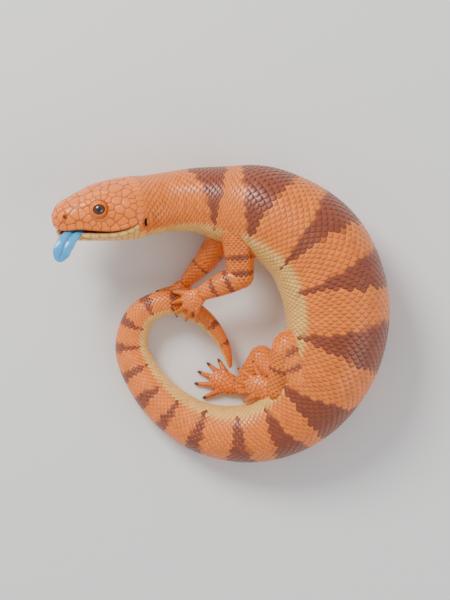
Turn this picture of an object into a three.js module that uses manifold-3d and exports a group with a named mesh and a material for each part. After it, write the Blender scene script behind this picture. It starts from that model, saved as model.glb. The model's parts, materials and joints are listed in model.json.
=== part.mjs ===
import * as THREE from "three";
import { mergeVertices } from "three/addons/utils/BufferGeometryUtils.js";
import Module from "manifold-3d";

// A blue-tongued skink at life size, lying curled on its right side with its tail between its feet.
// Millimetres, +Z up. The floor is Z = 0, the head points to -X and the back faces away from the middle
// of the curl, so that the left flank faces up. The origin is on the floor, below the middle of the box.

// Driving dimensions
const HEAD_LENGTH = 68;
const HEAD_ROLL = THREE.MathUtils.degToRad(20);
const ROLL_ENDS_AT = 3;
const GAP = 0.3;
const PRESS = 1.5;
const JAW_OPEN = THREE.MathUtils.degToRad(4);
const EYE_RADIUS = 4.7;

// The spine from the nape to the tail's tip: x, y, lift of the underside above the floor, half height
// from belly to back, half width from flank to flank. What lies on the floor is pressed a little flat.
const SPINE = [
  [-47.3, 70.4, 13.5, 20.0, 21.5],
  [-35.0, 72.4, 10.5, 20.3, 21.5],
  [-16.0, 73.8, 4.5, 22.3, 25.0],
  [4.4, 71.1, -PRESS, 26.5, 30.0],
  [31.6, 65.6, -PRESS, 31.0, 34.5],
  [64.3, 41.8, -PRESS, 35.5, 37.0],
  [79.2, 4.4, -PRESS, 36.0, 37.0],
  [75.8, -32.3, -PRESS, 33.5, 34.5],
  [61.5, -60.2, -PRESS, 29.0, 29.5],
  [43.9, -76.5, -PRESS, 24.5, 25.0],
  [20.1, -85.3, -PRESS, 20.5, 21.2],
  [-12.6, -81.3, -PRESS, 17.5, 18.0],
  [-42.5, -60.2, -PRESS, 14.5, 14.8],
  [-60.2, -28.2, -0.5, 11.8, 11.6],
  [-54.1, -5.1, 4.5, 10.2, 10.0],
  [-35.0, 3.7, 8.6, 8.8, 8.6],
  [-11.2, -6.5, 9.4, 6.6, 6.5],
  [3.1, -25.5, 9.8, 4.4, 4.4],
  [7.8, -41.8, 11.2, 1.7, 1.7],
];

// Where the body is parted, in stations of the spine
const BODY_PARTS = [
  ["neck", 0, 2.5, 4],
  ["chest", 2.5, 4.4, 5],
  ["belly", 4.4, 6.2, 6],
  ["loin", 6.2, 7.7, 5],
  ["pelvis", 7.7, 9.3, 5],
  ["tail_base", 9.3, 10.5, 4],
  ["tail_2", 10.5, 11.7, 4],
  ["tail_3", 11.7, 12.8, 4],
  ["tail_4", 12.8, 14.1, 6],
  ["tail_5", 14.1, 15.9, 7],
];
const TAIL_TIP = [15.9, 18];

// The head from the nape, 0, to the snout, 1: half width, height above and depth below its axis
const HEAD_SECTIONS = [
  [0.0, 21.5, 20.0, 20.0],
  [0.12, 24.6, 20.4, 20.6],
  [0.25, 26.2, 20.2, 20.4],
  [0.4, 24.6, 19.4, 18.8],
  [0.55, 21.0, 18.2, 17.0],
  [0.7, 17.2, 15.4, 15.0],
  [0.82, 14.2, 12.4, 13.2],
  [0.92, 12.2, 10.2, 12.0],
  [1.0, 11.0, 8.8, 11.0],
];
const SNOUT_ROUNDS_FROM = 0.86;

// The mouth from its corner to the front of the snout, as a share of the head's length and a height
const MOUTH_LINE = [
  [0.2, -3.2],
  [0.3, -6.0],
  [0.45, -8.2],
  [0.6, -7.6],
  [0.75, -6.2],
  [0.9, -6.6],
  [1.1, -6.0],
];
const JAW_BACK = [0.1, -22];

// Materials, one for each kind of surface
const finish = (color, roughness) => new THREE.MeshStandardMaterial({ color, roughness, metalness: 0 });
const MATERIALS = {
  orange: finish(0xf2915a, 0.45),
  cream: finish(0xf6c98a, 0.5),
  tongue: finish(0x35b5e0, 0.3),
  eye: finish(0x0e0a08, 0.08),
};

const manifold = await Module();
manifold.setup();

// Solids: a geometry as a closed body, and back
function solidOf(geometry) {
  const bare = new THREE.BufferGeometry();
  bare.setAttribute("position", geometry.getAttribute("position"));
  bare.setIndex(geometry.index);
  const merged = mergeVertices(bare, 1e-4);
  const corners = merged.index.array;
  const kept = [];
  for (let i = 0; i < corners.length; i += 3) {
    const [a, b, c] = corners.slice(i, i + 3);
    if (a !== b && b !== c && a !== c) kept.push(a, b, c);
  }
  return new manifold.Manifold(
    new manifold.Mesh({
      numProp: 3,
      vertProperties: merged.getAttribute("position").array,
      triVerts: new Uint32Array(kept),
    }),
  );
}

function geometryOf(solid) {
  const mesh = solid.getMesh();
  const geometry = new THREE.BufferGeometry();
  geometry.setAttribute("position", new THREE.BufferAttribute(mesh.vertProperties, mesh.numProp));
  geometry.setIndex(new THREE.BufferAttribute(mesh.triVerts, 1));
  geometry.computeVertexNormals();
  return geometry;
}

const fuse = (solids) => solids.reduce((whole, piece) => whole.add(piece));

const carve = (solid, tools) => tools.reduce((rest, tool) => rest.subtract(tool), solid);

function largest(solid) {
  const pieces = solid.decompose();
  return pieces.reduce((best, piece) => (piece.volume() > best.volume() ? piece : best));
}

// A smooth function through rows of [place, value], with slopes taken from the neighbours
function smooth(rows) {
  const slope = (i) => {
    const before = rows[Math.max(i - 1, 0)];
    const after = rows[Math.min(i + 1, rows.length - 1)];
    return (after[1] - before[1]) / (after[0] - before[0]);
  };
  return (place) => {
    let i = 0;
    while (i < rows.length - 2 && place > rows[i + 1][0]) i += 1;
    const span = rows[i + 1][0] - rows[i][0];
    const t = THREE.MathUtils.clamp((place - rows[i][0]) / span, 0, 1);
    const rise = rows[i + 1][1] - rows[i][1];
    const a = slope(i) * span - rise;
    const b = rise - slope(i + 1) * span;
    return rows[i][1] + rise * t + t * (1 - t) * (a * (1 - t) + b * t);
  };
}

const column = (table, index) => smooth(table.map((row, i) => [i, row[index]]));

const signedPower = (value, power) => Math.sign(value) * Math.abs(value) ** power;

// The spine's place, frame and sizes at a station
const spineCurve = new THREE.CatmullRomCurve3(
  SPINE.map(([x, y, lift, , halfWidth]) => new THREE.Vector3(x, y, lift + halfWidth)),
  false,
  "centripetal",
);
const spineHeight = column(SPINE, 3);
const spineWidth = column(SPINE, 4);
const BODY_POWER = 2 / 2.2;
const UP = new THREE.Vector3(0, 0, 1);

function spineAt(station) {
  const t = THREE.MathUtils.clamp(station / (SPINE.length - 1), 0, 1);
  const centre = spineCurve.getPoint(t);
  const along = spineCurve.getTangent(t);
  const roll = HEAD_ROLL * (1 - THREE.MathUtils.smoothstep(station, 0, ROLL_ENDS_AT));
  const level = new THREE.Vector3().crossVectors(UP, along).normalize();
  const upright = new THREE.Vector3().crossVectors(along, level);
  const dorsal = level.clone().multiplyScalar(Math.cos(roll)).addScaledVector(upright, Math.sin(roll));
  const left = new THREE.Vector3().crossVectors(along, dorsal);
  return { centre, along, dorsal, left, height: spineHeight(station), width: spineWidth(station) };
}

// Moves each vertex of a unit cylinder or ball to place(angle, share of its length, distance from its axis)
function wrapped(geometry, place, floor = 0) {
  geometry.computeBoundingBox();
  const { min, max } = geometry.boundingBox;
  const position = geometry.attributes.position;
  const point = new THREE.Vector3();
  for (let i = 0; i < position.count; i += 1) {
    point.fromBufferAttribute(position, i);
    const rim = Math.hypot(point.x, point.z);
    const angle = rim > 1e-6 ? Math.atan2(point.x, point.z) : 0;
    const share = (point.y - min.y) / (max.y - min.y);
    const moved = place(angle, share, rim);
    position.setXYZ(i, moved.x, moved.y, Math.max(moved.z, floor));
  }
  return geometry;
}

const polarShare = (share) => 1 - Math.acos(THREE.MathUtils.clamp(2 * share - 1, -1, 1)) / Math.PI;

// A length of the body between two stations, thicker by grow
function bodyPiece(from, to, rings, grow = 0, sides = 24) {
  return solidOf(
    wrapped(new THREE.CylinderGeometry(1, 1, 1, sides, rings), (angle, share, rim) => {
      const { centre, dorsal, left, height, width } = spineAt(THREE.MathUtils.lerp(from, to, share));
      return centre
        .addScaledVector(dorsal, rim * (height + grow) * signedPower(Math.cos(angle), BODY_POWER))
        .addScaledVector(left, rim * (width + grow) * signedPower(Math.sin(angle), BODY_POWER));
    }, -grow),
  );
}

// The tail's end closes in a round point
function tailTip(from, to, grow = 0) {
  const rings = 16;
  return solidOf(
    wrapped(new THREE.SphereGeometry(1, 16, rings), (angle, share) => {
      const ring = Math.max(0, polarShare(share) * rings - 1) / (rings - 1);
      const { centre, dorsal, left, height, width } = spineAt(THREE.MathUtils.lerp(from, to, ring));
      const taper = share < 1e-6 ? 0 : Math.sqrt(1 - Math.max(0, (ring - 0.92) / 0.08) ** 2);
      return centre
        .addScaledVector(dorsal, taper * (height + grow) * Math.cos(angle))
        .addScaledVector(left, taper * (width + grow) * Math.sin(angle));
    }),
  );
}

const stationGap = (station) => {
  const before = spineAt(station - 0.05).centre;
  const after = spineAt(station + 0.05).centre;
  return (GAP / 2) * (0.1 / before.distanceTo(after));
};

// The head's own frame: forward along its axis, up to the crown and out to the left
const nape = spineAt(0);
const forward = nape.along.clone().negate();
const crown = nape.dorsal;
const leftward = nape.left;

const inHead = (ahead, out, above) =>
  nape.centre
    .clone()
    .addScaledVector(forward, ahead)
    .addScaledVector(leftward, out)
    .addScaledVector(crown, above);

const headDirection = (ahead, out, above) =>
  new THREE.Vector3()
    .addScaledVector(forward, ahead)
    .addScaledVector(leftward, out)
    .addScaledVector(crown, above)
    .normalize();

const headColumn = (index) => smooth(HEAD_SECTIONS.map((row) => [row[0], row[index]]));
const headWidth = headColumn(1);
const headTop = headColumn(2);
const headBottom = headColumn(3);
const mouthHeight = smooth(MOUTH_LINE);

// Swellings of the head: share of its length, angle from the crown, height, reach along and around
const SWELLINGS = [
  [0.55, 0.86, 1.5, 0.1, 0.3],
  [0.24, 1.75, 1.2, 0.12, 0.5],
  [0.7, 1.15, -1.1, 0.08, 0.3],
  [0.4, 0.0, 0.6, 0.12, 0.5],
];

function headPoint(share, angle, rim = 1) {
  const round = Math.sqrt(1 - Math.max(0, (share - SNOUT_ROUNDS_FROM) / (1 - SNOUT_ROUNDS_FROM)) ** 2);
  const boxy = THREE.MathUtils.lerp(BODY_POWER, 0.8, THREE.MathUtils.smoothstep(share, 0, 0.35));
  const rise = signedPower(Math.cos(angle), boxy);
  const side = signedPower(Math.sin(angle), BODY_POWER);
  const above = rise > 0 ? rise * headTop(share) : rise * headBottom(share);
  let swell = SWELLINGS.reduce((sum, [at, around, size, reach, spread]) => {
    const off = ((share - at) / reach) ** 2 + ((Math.abs(angle) - around) / spread) ** 2;
    return sum + size * Math.exp(-off);
  }, 0);
  const fromMouth = above * round - mouthHeight(share);
  const lips = THREE.MathUtils.smoothstep(share, 0.2, 0.34);
  swell += lips * 0.7 * Math.exp(-(((Math.abs(fromMouth) - 1.9) / 1.3) ** 2));
  const out = side * (headWidth(share) + swell) * round * rim;
  const lifted = (above + rise * swell) * round * rim;
  return inHead(share * HEAD_LENGTH, out, lifted);
}

function headLoft() {
  const straight = 16;
  const turning = 6;
  const rings = straight + turning;
  const lastTurn = THREE.MathUtils.degToRad(76);
  return solidOf(
    wrapped(new THREE.CylinderGeometry(1, 1, 1, 44, rings), (angle, share, rim) => {
      const ring = Math.round((1 - share) * rings);
      const turn = (Math.max(0, ring - straight) / turning) * lastTurn;
      const start = GAP / HEAD_LENGTH;
      const place =
        ring <= straight
          ? THREE.MathUtils.lerp(start, SNOUT_ROUNDS_FROM, ring / straight)
          : SNOUT_ROUNDS_FROM + (1 - SNOUT_ROUNDS_FROM) * Math.sin(turn);
      return headPoint(place, angle, rim);
    }),
  );
}

// The jaw's outline from the side, as a block to cut the head with
function jawBlock(grow) {
  const along = new THREE.Shape();
  const corner = MOUTH_LINE[0];
  along.moveTo(corner[0] * HEAD_LENGTH - grow, corner[1] + grow);
  const steps = 18;
  for (let i = 1; i <= steps; i += 1) {
    const share = THREE.MathUtils.lerp(corner[0], 1.1, i / steps);
    along.lineTo(share * HEAD_LENGTH, mouthHeight(share) + grow);
  }
  along.lineTo(1.1 * HEAD_LENGTH, -40);
  along.lineTo(JAW_BACK[0] * HEAD_LENGTH - grow, -40);
  along.lineTo(JAW_BACK[0] * HEAD_LENGTH - grow, JAW_BACK[1]);
  along.closePath();
  const halfBreadth = 40;
  const block = new THREE.ExtrudeGeometry(along, { depth: 2 * halfBreadth, bevelEnabled: false });
  block.translate(0, 0, -halfBreadth);
  return block;
}

const headMatrix = new THREE.Matrix4()
  .makeBasis(forward, crown, leftward.clone().negate())
  .setPosition(nape.centre);
const hinge = [MOUTH_LINE[0][0] * HEAD_LENGTH, MOUTH_LINE[0][1]];
const openJaw = new THREE.Matrix4()
  .multiply(headMatrix)
  .multiply(new THREE.Matrix4().makeTranslation(hinge[0], hinge[1], 0))
  .multiply(new THREE.Matrix4().makeRotationZ(-JAW_OPEN))
  .multiply(new THREE.Matrix4().makeTranslation(-hinge[0], -hinge[1], 0));

function turned(solid, matrix) {
  return solidOf(geometryOf(solid).applyMatrix4(matrix));
}

// A ball stretched along three directions
function ball(centre, directions, sizes, across = 16, down = 10) {
  const matrix = new THREE.Matrix4()
    .makeBasis(...directions.map((direction, i) => direction.clone().multiplyScalar(sizes[i])))
    .setPosition(centre);
  if (matrix.determinant() < 0) matrix.scale(new THREE.Vector3(-1, 1, 1));
  return solidOf(new THREE.SphereGeometry(1, across, down).applyMatrix4(matrix));
}

// Eyes: a ball in a socket, with a thick lid round it
const EYE_PLACE = [38.5, 16.6, 7.2];
const LID_RING = 5.3;
const LID_THICKNESS = 1.5;

function eyeFrame(side) {
  const outward = headDirection(0.16, side * 0.95, 0.26);
  const over = crown.clone().addScaledVector(outward, -crown.dot(outward)).normalize();
  const centre = inHead(EYE_PLACE[0], side * EYE_PLACE[1], EYE_PLACE[2]);
  return { centre, outward, over, ahead: new THREE.Vector3().crossVectors(over, outward) };
}

function eyeBall(side, grow) {
  const { centre, outward, over, ahead } = eyeFrame(side);
  const radius = EYE_RADIUS + grow;
  return ball(centre, [ahead, over, outward], [radius, radius, radius], 14, 10);
}

function eyeLids(side) {
  const { centre, outward, over, ahead } = eyeFrame(side);
  const lids = new THREE.TorusGeometry(LID_RING, LID_THICKNESS, 7, 18);
  lids.scale(1.02, 0.86, 0.95);
  const matrix = new THREE.Matrix4().makeBasis(ahead, over, outward);
  matrix.setPosition(centre.clone().addScaledVector(outward, 2.0));
  return solidOf(lids.applyMatrix4(matrix));
}

// Pits in the head: the cup of each ear and the nostrils
function headPits(side) {
  const outward = headDirection(0, side, 0);
  const axes = [forward, crown, outward];
  const earSurface = headPoint(0.125, side * 1.72);
  const nostrilSurface = headPoint(0.9, side * 1.28);
  return [
    ball(earSurface, axes, [2.2, 3.8, 4.2], 12, 8),
    ball(nostrilSurface, axes, [1.3, 1.0, 2.0], 8, 6),
  ];
}

// The tongue lolls out at the left front corner of the mouth: its path and half widths
const TONGUE_PATH = [
  [49, 5.5, -8.2],
  [56.5, 11.5, -8.6],
  [62, 16.2, -11.4],
  [66.5, 18.4, -17.0],
  [70, 18.6, -24.0],
];
const TONGUE_HALF_WIDTH = 6.6;
const TONGUE_HALF_THICKNESS = 1.7;

function tongueSolid(grow) {
  const path = new THREE.CatmullRomCurve3(TONGUE_PATH.map((place) => inHead(...place)), false, "centripetal");
  const across = [headDirection(0.9, -0.45, 0), headDirection(0.86, -0.2, 0.46)];
  return solidOf(
    wrapped(new THREE.SphereGeometry(1, 12, 14), (angle, share) => {
      const v = polarShare(share);
      const centre = path.getPoint(v);
      const along = path.getTangent(v);
      const breadth = across[0].clone().lerp(across[1], v);
      breadth.addScaledVector(along, -breadth.dot(along)).normalize();
      const normal = new THREE.Vector3().crossVectors(breadth, along);
      const taper = Math.min(1, v * 8) * Math.sqrt(1 - Math.max(0, (v - 0.6) / 0.4) ** 2.4);
      const wide = (TONGUE_HALF_WIDTH * THREE.MathUtils.lerp(0.85, 1, v) + grow) * taper;
      const thick = (TONGUE_HALF_THICKNESS + grow) * taper ** 0.5;
      return centre
        .addScaledVector(breadth, wide * Math.sin(angle))
        .addScaledVector(normal, thick * Math.cos(angle));
    }),
  );
}

// Limbs: a round-ended length along a few joints
function capsule(joints, radii, grow = 0, sides = 14, rings = 12) {
  const curve = new THREE.CatmullRomCurve3(joints.map((joint) => new THREE.Vector3(...joint)), false, "centripetal");
  const radius = smooth(radii.map((r, i) => [i / (radii.length - 1), r]));
  const cap = 0.25;
  return solidOf(
    wrapped(new THREE.SphereGeometry(1, sides, rings), (angle, share) => {
      const v = polarShare(share);
      const s = THREE.MathUtils.clamp((v - cap) / (1 - 2 * cap), 0, 1);
      const centre = curve.getPoint(s);
      const along = curve.getTangent(s);
      const beyond = v < cap ? -Math.cos((v / cap) * (Math.PI / 2)) : 0;
      const past = v > 1 - cap ? Math.cos(((1 - v) / cap) * (Math.PI / 2)) : 0;
      const reach = radius(s) + grow;
      const girth = reach * Math.sqrt(Math.max(0, 1 - (beyond + past) ** 2));
      const level = new THREE.Vector3().crossVectors(UP, along).normalize();
      const upright = new THREE.Vector3().crossVectors(along, level);
      return centre
        .addScaledVector(along, (beyond + past) * reach)
        .addScaledVector(level, girth * Math.cos(angle))
        .addScaledVector(upright, girth * Math.sin(angle));
    }, -grow),
  );
}

// A foot: a flat pad with five toes and claws. Its frame is where it points, its back and its side.
function footSolid(foot) {
  const ahead = new THREE.Vector3(...foot.ahead).normalize();
  const back = new THREE.Vector3(...foot.back);
  back.addScaledVector(ahead, -back.dot(ahead)).normalize();
  const side = new THREE.Vector3().crossVectors(ahead, back);
  const heel = new THREE.Vector3(...foot.heel);
  const local = (x, y, z) =>
    heel.clone().addScaledVector(ahead, x).addScaledVector(side, y).addScaledVector(back, z);
  const [padLength, padWidth, padThickness] = foot.pad;
  const pad = ball(
    local(padLength * 0.45, 0, 0),
    [side, ahead, back],
    [padWidth / 2, padLength * 0.62, padThickness / 2],
    12,
    8,
  );
  const pieces = [pad];
  foot.toes.forEach(([spread, length], i) => {
    const turn = THREE.MathUtils.degToRad(spread);
    const shift = (i - (foot.toes.length - 1) / 2) * foot.toePitch * foot.handed;
    const reach = [Math.cos(turn), Math.sin(turn) * foot.handed];
    const root = padLength * (0.62 - 0.05 * Math.abs(i - 2));
    const at = (distance) => {
      const bend = foot.curl * (distance / length) ** 2;
      return local(root + reach[0] * distance, shift + reach[1] * distance, foot.arch * (distance / length) - bend);
    };
    const joints = [0, 0.35, 0.7, 1].map((part) => at(part * length).toArray());
    pieces.push(capsule(joints, [foot.toeRadius, foot.toeRadius * 0.95, foot.toeRadius * 0.72], 0, 7, 7));
    const tip = at(length);
    const aim = at(length * 1.12).sub(tip).addScaledVector(back, -0.35).normalize();
    const claw = new THREE.ConeGeometry(foot.toeRadius * 0.55, foot.clawLength, 6, 1);
    claw.translate(0, foot.clawLength * 0.3, 0);
    claw.applyQuaternion(new THREE.Quaternion().setFromUnitVectors(new THREE.Vector3(0, 1, 0), aim));
    const clawAt = tip.clone().addScaledVector(aim, foot.toeRadius * 0.45);
    pieces.push(solidOf(claw.translate(clawAt.x, clawAt.y, Math.max(clawAt.z, foot.clawFloor))));
  });
  return fuse(pieces);
}

// The toes of a hand and of a foot, as angles from where it points and lengths, from the inner toe outwards
const HAND = {
  pad: [14, 14, 7.4],
  toes: [[-44, 10], [-22, 12.5], [0, 13.5], [20, 13], [44, 10.5]],
  toePitch: 2.7,
  toeRadius: 2.2,
  clawLength: 4.2,
};
const HIND_FOOT = {
  pad: [19, 15, 8.4],
  toes: [[-42, 10], [-23, 13.5], [-4, 15.5], [14, 16.5], [42, 12]],
  toePitch: 2.8,
  toeRadius: 2.3,
  clawLength: 4.4,
};

// Each limb: its joints from the trunk outwards, its thickness, and how its foot is set
const LIMBS = {
  left_fore: {
    names: ["left_upper_arm", "left_forearm", "left_hand"],
    root: [12.0, 56.0, 44.0],
    joint: [14.5, 22.0, 39.5],
    ankle: [-9.5, 11.5, 35.0],
    radii: [12.5, 10.6, 9.0, 8.2, 6.0],
    foot: {
      ...HAND,
      heel: [-12.0, 10.2, 33.0],
      ahead: [-0.8, -0.6, -0.08],
      back: [0, 0.1, 1],
      handed: 1,
      arch: 0.8,
      curl: 6.0,
      clawFloor: 1,
    },
  },
  right_fore: {
    names: ["right_upper_arm", "right_forearm", "right_hand"],
    root: [5.0, 54.0, 15.5],
    joint: [-9.0, 33.5, 10.0],
    ankle: [-22.0, 19.5, 6.6],
    radii: [11.0, 9.4, 8.2, 7.0, 5.2],
    foot: {
      ...HAND,
      heel: [-24.0, 17.0, 3.9],
      ahead: [-0.55, -0.83, -0.02],
      back: [0, 0, 1],
      handed: -1,
      arch: -1.0,
      curl: 0.6,
      clawFloor: 2.4,
    },
  },
  left_hind: {
    names: ["left_thigh", "left_shank", "left_foot"],
    root: [62.0, -50.0, 42.0],
    joint: [46.5, -25.5, 49.0],
    ankle: [38.5, -55.0, 42.5],
    radii: [18.0, 15.5, 11.5, 10.0, 7.2],
    foot: {
      ...HIND_FOOT,
      heel: [36.5, -55.5, 38.0],
      ahead: [-0.93, 0.27, -0.25],
      back: [-0.2, 0, 1],
      handed: 1,
      arch: 0.6,
      curl: 3.0,
      clawFloor: 1,
    },
  },
  right_hind: {
    names: ["right_thigh", "right_shank", "right_foot"],
    root: [52.0, -59.5, 15.0],
    joint: [29.0, -35.0, 11.5],
    ankle: [15.0, -54.5, 7.4],
    radii: [14.0, 12.2, 9.8, 8.2, 6.2],
    foot: {
      ...HIND_FOOT,
      heel: [12.5, -54.0, 4.5],
      ahead: [-0.95, 0.31, -0.03],
      back: [0, 0, 1],
      handed: -1,
      arch: -1.2,
      curl: 0.6,
      clawFloor: 2.4,
    },
  },
};

// Assembly
const skink = new THREE.Group();

function addNode(name, solid, material) {
  const mesh = new THREE.Mesh(geometryOf(largest(solid.simplify(0.02))), material);
  mesh.name = name;
  skink.add(mesh);
}

const sidesOf = (name) => (name.startsWith("tail") ? 20 : 24);
const wholeBody = fuse([
  ...BODY_PARTS.map(([name, from, to, rings]) => bodyPiece(from, to, rings, GAP, sidesOf(name))),
  tailTip(...TAIL_TIP, GAP),
]);

BODY_PARTS.forEach(([name, from, to, rings]) => {
  const start = from === 0 ? 0 : from + stationGap(from);
  addNode(name, bodyPiece(start, to - stationGap(to), rings, 0, sidesOf(name)), MATERIALS.orange);
});
addNode("tail_tip", tailTip(TAIL_TIP[0] + stationGap(TAIL_TIP[0]), TAIL_TIP[1]), MATERIALS.orange);

const head = headLoft();
const sockets = [eyeBall(1, GAP), eyeBall(-1, GAP)];
const tonguePocket = tongueSolid(GAP);
const closedBlock = solidOf(jawBlock(GAP).applyMatrix4(headMatrix));
const openBlock = solidOf(jawBlock(GAP).applyMatrix4(openJaw));
const cranium = carve(fuse([head, eyeLids(1), eyeLids(-1)]), [
  closedBlock,
  openBlock,
  ...sockets,
  ...headPits(1),
  ...headPits(-1),
  tonguePocket,
]);
addNode("head", cranium, MATERIALS.orange);

const jawClosed = head.intersect(solidOf(jawBlock(0).applyMatrix4(headMatrix)));
const headToWorld = headMatrix.clone().invert();
const jaw = carve(turned(jawClosed, openJaw.clone().multiply(headToWorld)), [tonguePocket]);
addNode("jaw", jaw, MATERIALS.cream);
addNode("tongue", tongueSolid(0), MATERIALS.tongue);
addNode("left_eye", eyeBall(1, 0), MATERIALS.eye);
addNode("right_eye", eyeBall(-1, 0), MATERIALS.eye);

Object.values(LIMBS).forEach(({ names, root, joint, ankle, radii, foot }) => {
  const upper = (grow) => capsule([root, joint], radii.slice(0, 3), grow);
  const lower = (grow) => capsule([joint, ankle], radii.slice(2), grow);
  addNode(names[0], carve(upper(0), [wholeBody]), MATERIALS.orange);
  addNode(names[1], carve(lower(0), [wholeBody, upper(GAP)]), MATERIALS.orange);
  addNode(names[2], carve(footSolid(foot), [wholeBody, upper(GAP), lower(GAP)]), MATERIALS.orange);
});

const box = new THREE.Box3().setFromObject(skink);
const middle = box.getCenter(new THREE.Vector3());
skink.children.forEach(({ geometry }) => geometry.translate(-middle.x, -middle.y, 0));

export default skink;
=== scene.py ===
import json
import math

import bmesh
import bpy
import numpy as np
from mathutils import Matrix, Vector
from mathutils.bvhtree import BVHTree

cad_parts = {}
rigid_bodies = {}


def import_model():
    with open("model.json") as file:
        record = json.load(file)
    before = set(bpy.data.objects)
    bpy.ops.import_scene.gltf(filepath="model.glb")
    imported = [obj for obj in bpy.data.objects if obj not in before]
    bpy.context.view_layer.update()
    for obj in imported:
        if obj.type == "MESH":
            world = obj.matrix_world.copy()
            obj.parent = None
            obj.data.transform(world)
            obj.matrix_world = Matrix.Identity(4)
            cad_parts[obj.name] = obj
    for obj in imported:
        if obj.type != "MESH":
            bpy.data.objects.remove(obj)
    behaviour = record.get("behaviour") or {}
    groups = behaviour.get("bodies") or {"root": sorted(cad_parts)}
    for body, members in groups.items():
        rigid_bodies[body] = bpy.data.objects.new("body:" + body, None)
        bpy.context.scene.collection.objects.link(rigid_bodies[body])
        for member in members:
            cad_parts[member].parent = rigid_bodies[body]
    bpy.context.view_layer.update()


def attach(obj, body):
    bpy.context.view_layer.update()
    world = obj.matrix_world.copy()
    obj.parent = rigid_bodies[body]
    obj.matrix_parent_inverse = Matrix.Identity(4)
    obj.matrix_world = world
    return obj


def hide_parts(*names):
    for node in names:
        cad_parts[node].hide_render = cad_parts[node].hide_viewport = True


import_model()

# %% [markdown]
# # A curled blue-tongued skink
# The lizard lies on its right side, curled nose to tail, so its left flank faces up. The whole animal is
# drawn from a few tables of sizes: a spine with a height and a width along it, cross-sections of the head,
# and joints for each limb. Everything else is computed from them, so one changed number moves the skin,
# the scales and the markings together. Sizes are in millimetres and become metres when a mesh is made.

# %% Sizes and tables
MM = 0.001
COAT = 0.55
CURL_MIDDLE = (1.249, -3.954)
HEAD_LENGTH = 68.0
HEAD_ROLL = math.radians(20)
ROLL_ENDS_AT = 3.0
JAW_OPEN = math.radians(4)
PRESS = 1.5
BODY_POWER = 2 / 2.2
THINNEST = 0.3
SEED = 11
SIDES = ((1, "left"), (-1, "right"))

# The spine from the nape to the tail's tip: x, y, lift off the floor, half height, half width
SPINE = np.array(
    [
        (-47.3, 70.4, 13.5, 20.0, 21.5),
        (-35.0, 72.4, 10.5, 20.3, 21.5),
        (-16.0, 73.8, 4.5, 22.3, 25.0),
        (4.4, 71.1, -PRESS, 26.5, 30.0),
        (31.6, 65.6, -PRESS, 31.0, 34.5),
        (64.3, 41.8, -PRESS, 35.5, 37.0),
        (79.2, 4.4, -PRESS, 36.0, 37.0),
        (75.8, -32.3, -PRESS, 33.5, 34.5),
        (61.5, -60.2, -PRESS, 29.0, 29.5),
        (43.9, -76.5, -PRESS, 24.5, 25.0),
        (20.1, -85.3, -PRESS, 20.5, 21.2),
        (-12.6, -81.3, -PRESS, 17.5, 18.0),
        (-42.5, -60.2, -PRESS, 14.5, 14.8),
        (-60.2, -28.2, -0.5, 11.8, 11.6),
        (-54.1, -5.1, 4.5, 10.2, 10.0),
        (-35.0, 3.7, 8.6, 8.8, 8.6),
        (-11.2, -6.5, 9.4, 6.6, 6.5),
        (3.1, -25.5, 9.8, 4.4, 4.4),
        (7.8, -41.8, 11.2, 1.7, 1.7),
    ]
)

# The head from nape, 0, to snout, 1: half width, height above and depth below its axis
HEAD_SECTIONS = np.array(
    [
        (0.0, 21.5, 20.0, 20.0),
        (0.12, 24.6, 20.4, 20.6),
        (0.25, 26.2, 20.2, 20.4),
        (0.4, 24.6, 19.4, 18.8),
        (0.55, 21.0, 18.2, 17.0),
        (0.7, 17.2, 15.4, 15.0),
        (0.82, 14.2, 12.4, 13.2),
        (0.92, 12.2, 10.2, 12.0),
        (1.0, 11.0, 8.8, 11.0),
    ]
)
SNOUT_ROUNDS_FROM = 0.86
HEAD_POWER = 0.8

# Swellings of the head: where along it, angle from the crown, size, reach along and around
SWELLINGS = [
    (0.55, 0.86, 1.5, 0.1, 0.3),
    (0.24, 1.75, 1.2, 0.12, 0.5),
    (0.7, 1.15, -1.1, 0.08, 0.3),
    (0.4, 0.0, 0.6, 0.12, 0.5),
]

# The line of the mouth, from its corner to the front of the snout, and the lips' swelling beside it
MOUTH_LINE = np.array(
    [(0.2, -3.2), (0.3, -6.0), (0.45, -8.2), (0.6, -7.6), (0.75, -6.2), (0.9, -6.6), (1.1, -6.0)]
)
MOUTH_CORNER = MOUTH_LINE[0, 0]
LIP = {"from_mouth": 1.9, "reach": 1.3, "size": 0.7, "full_at": 0.34}
print(len(SPINE), "places along the spine, and a head of", HEAD_LENGTH, "mm")

# %% [markdown]
# ## Curves and frames
# A spline through a handful of points gives the line that the body follows. At each place along it we need
# a frame: one direction along the body, one towards the back and one towards the left flank. With these, a
# point of the surface is only a station along the spine and an angle round it, which is how the scales
# will be laid later. A subdivision surface could make the same trunk, but it has no such coordinates.


# %% Curves through points
def unit(vectors):
    """The vectors at length 1."""
    return vectors / np.maximum(np.linalg.norm(vectors, axis=-1, keepdims=True), 1e-9)


def through(rows):
    """A smooth function through rows of (place, value)."""
    places = rows[:, 0]
    values = rows[:, 1]
    before = np.maximum(np.arange(len(rows)) - 1, 0)
    after = np.minimum(np.arange(len(rows)) + 1, len(rows) - 1)
    slopes = (values[after] - values[before]) / (places[after] - places[before])

    def at(place):
        place = np.asarray(place, float)
        i = np.clip(np.searchsorted(places, place, side="right") - 1, 0, len(rows) - 2)
        span = places[i + 1] - places[i]
        t = np.clip((place - places[i]) / span, 0, 1)
        rise = values[i + 1] - values[i]
        a = slopes[i] * span - rise
        b = rise - slopes[i + 1] * span
        return values[i] + rise * t + t * (1 - t) * (a * (1 - t) + b * t)

    return at


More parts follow.
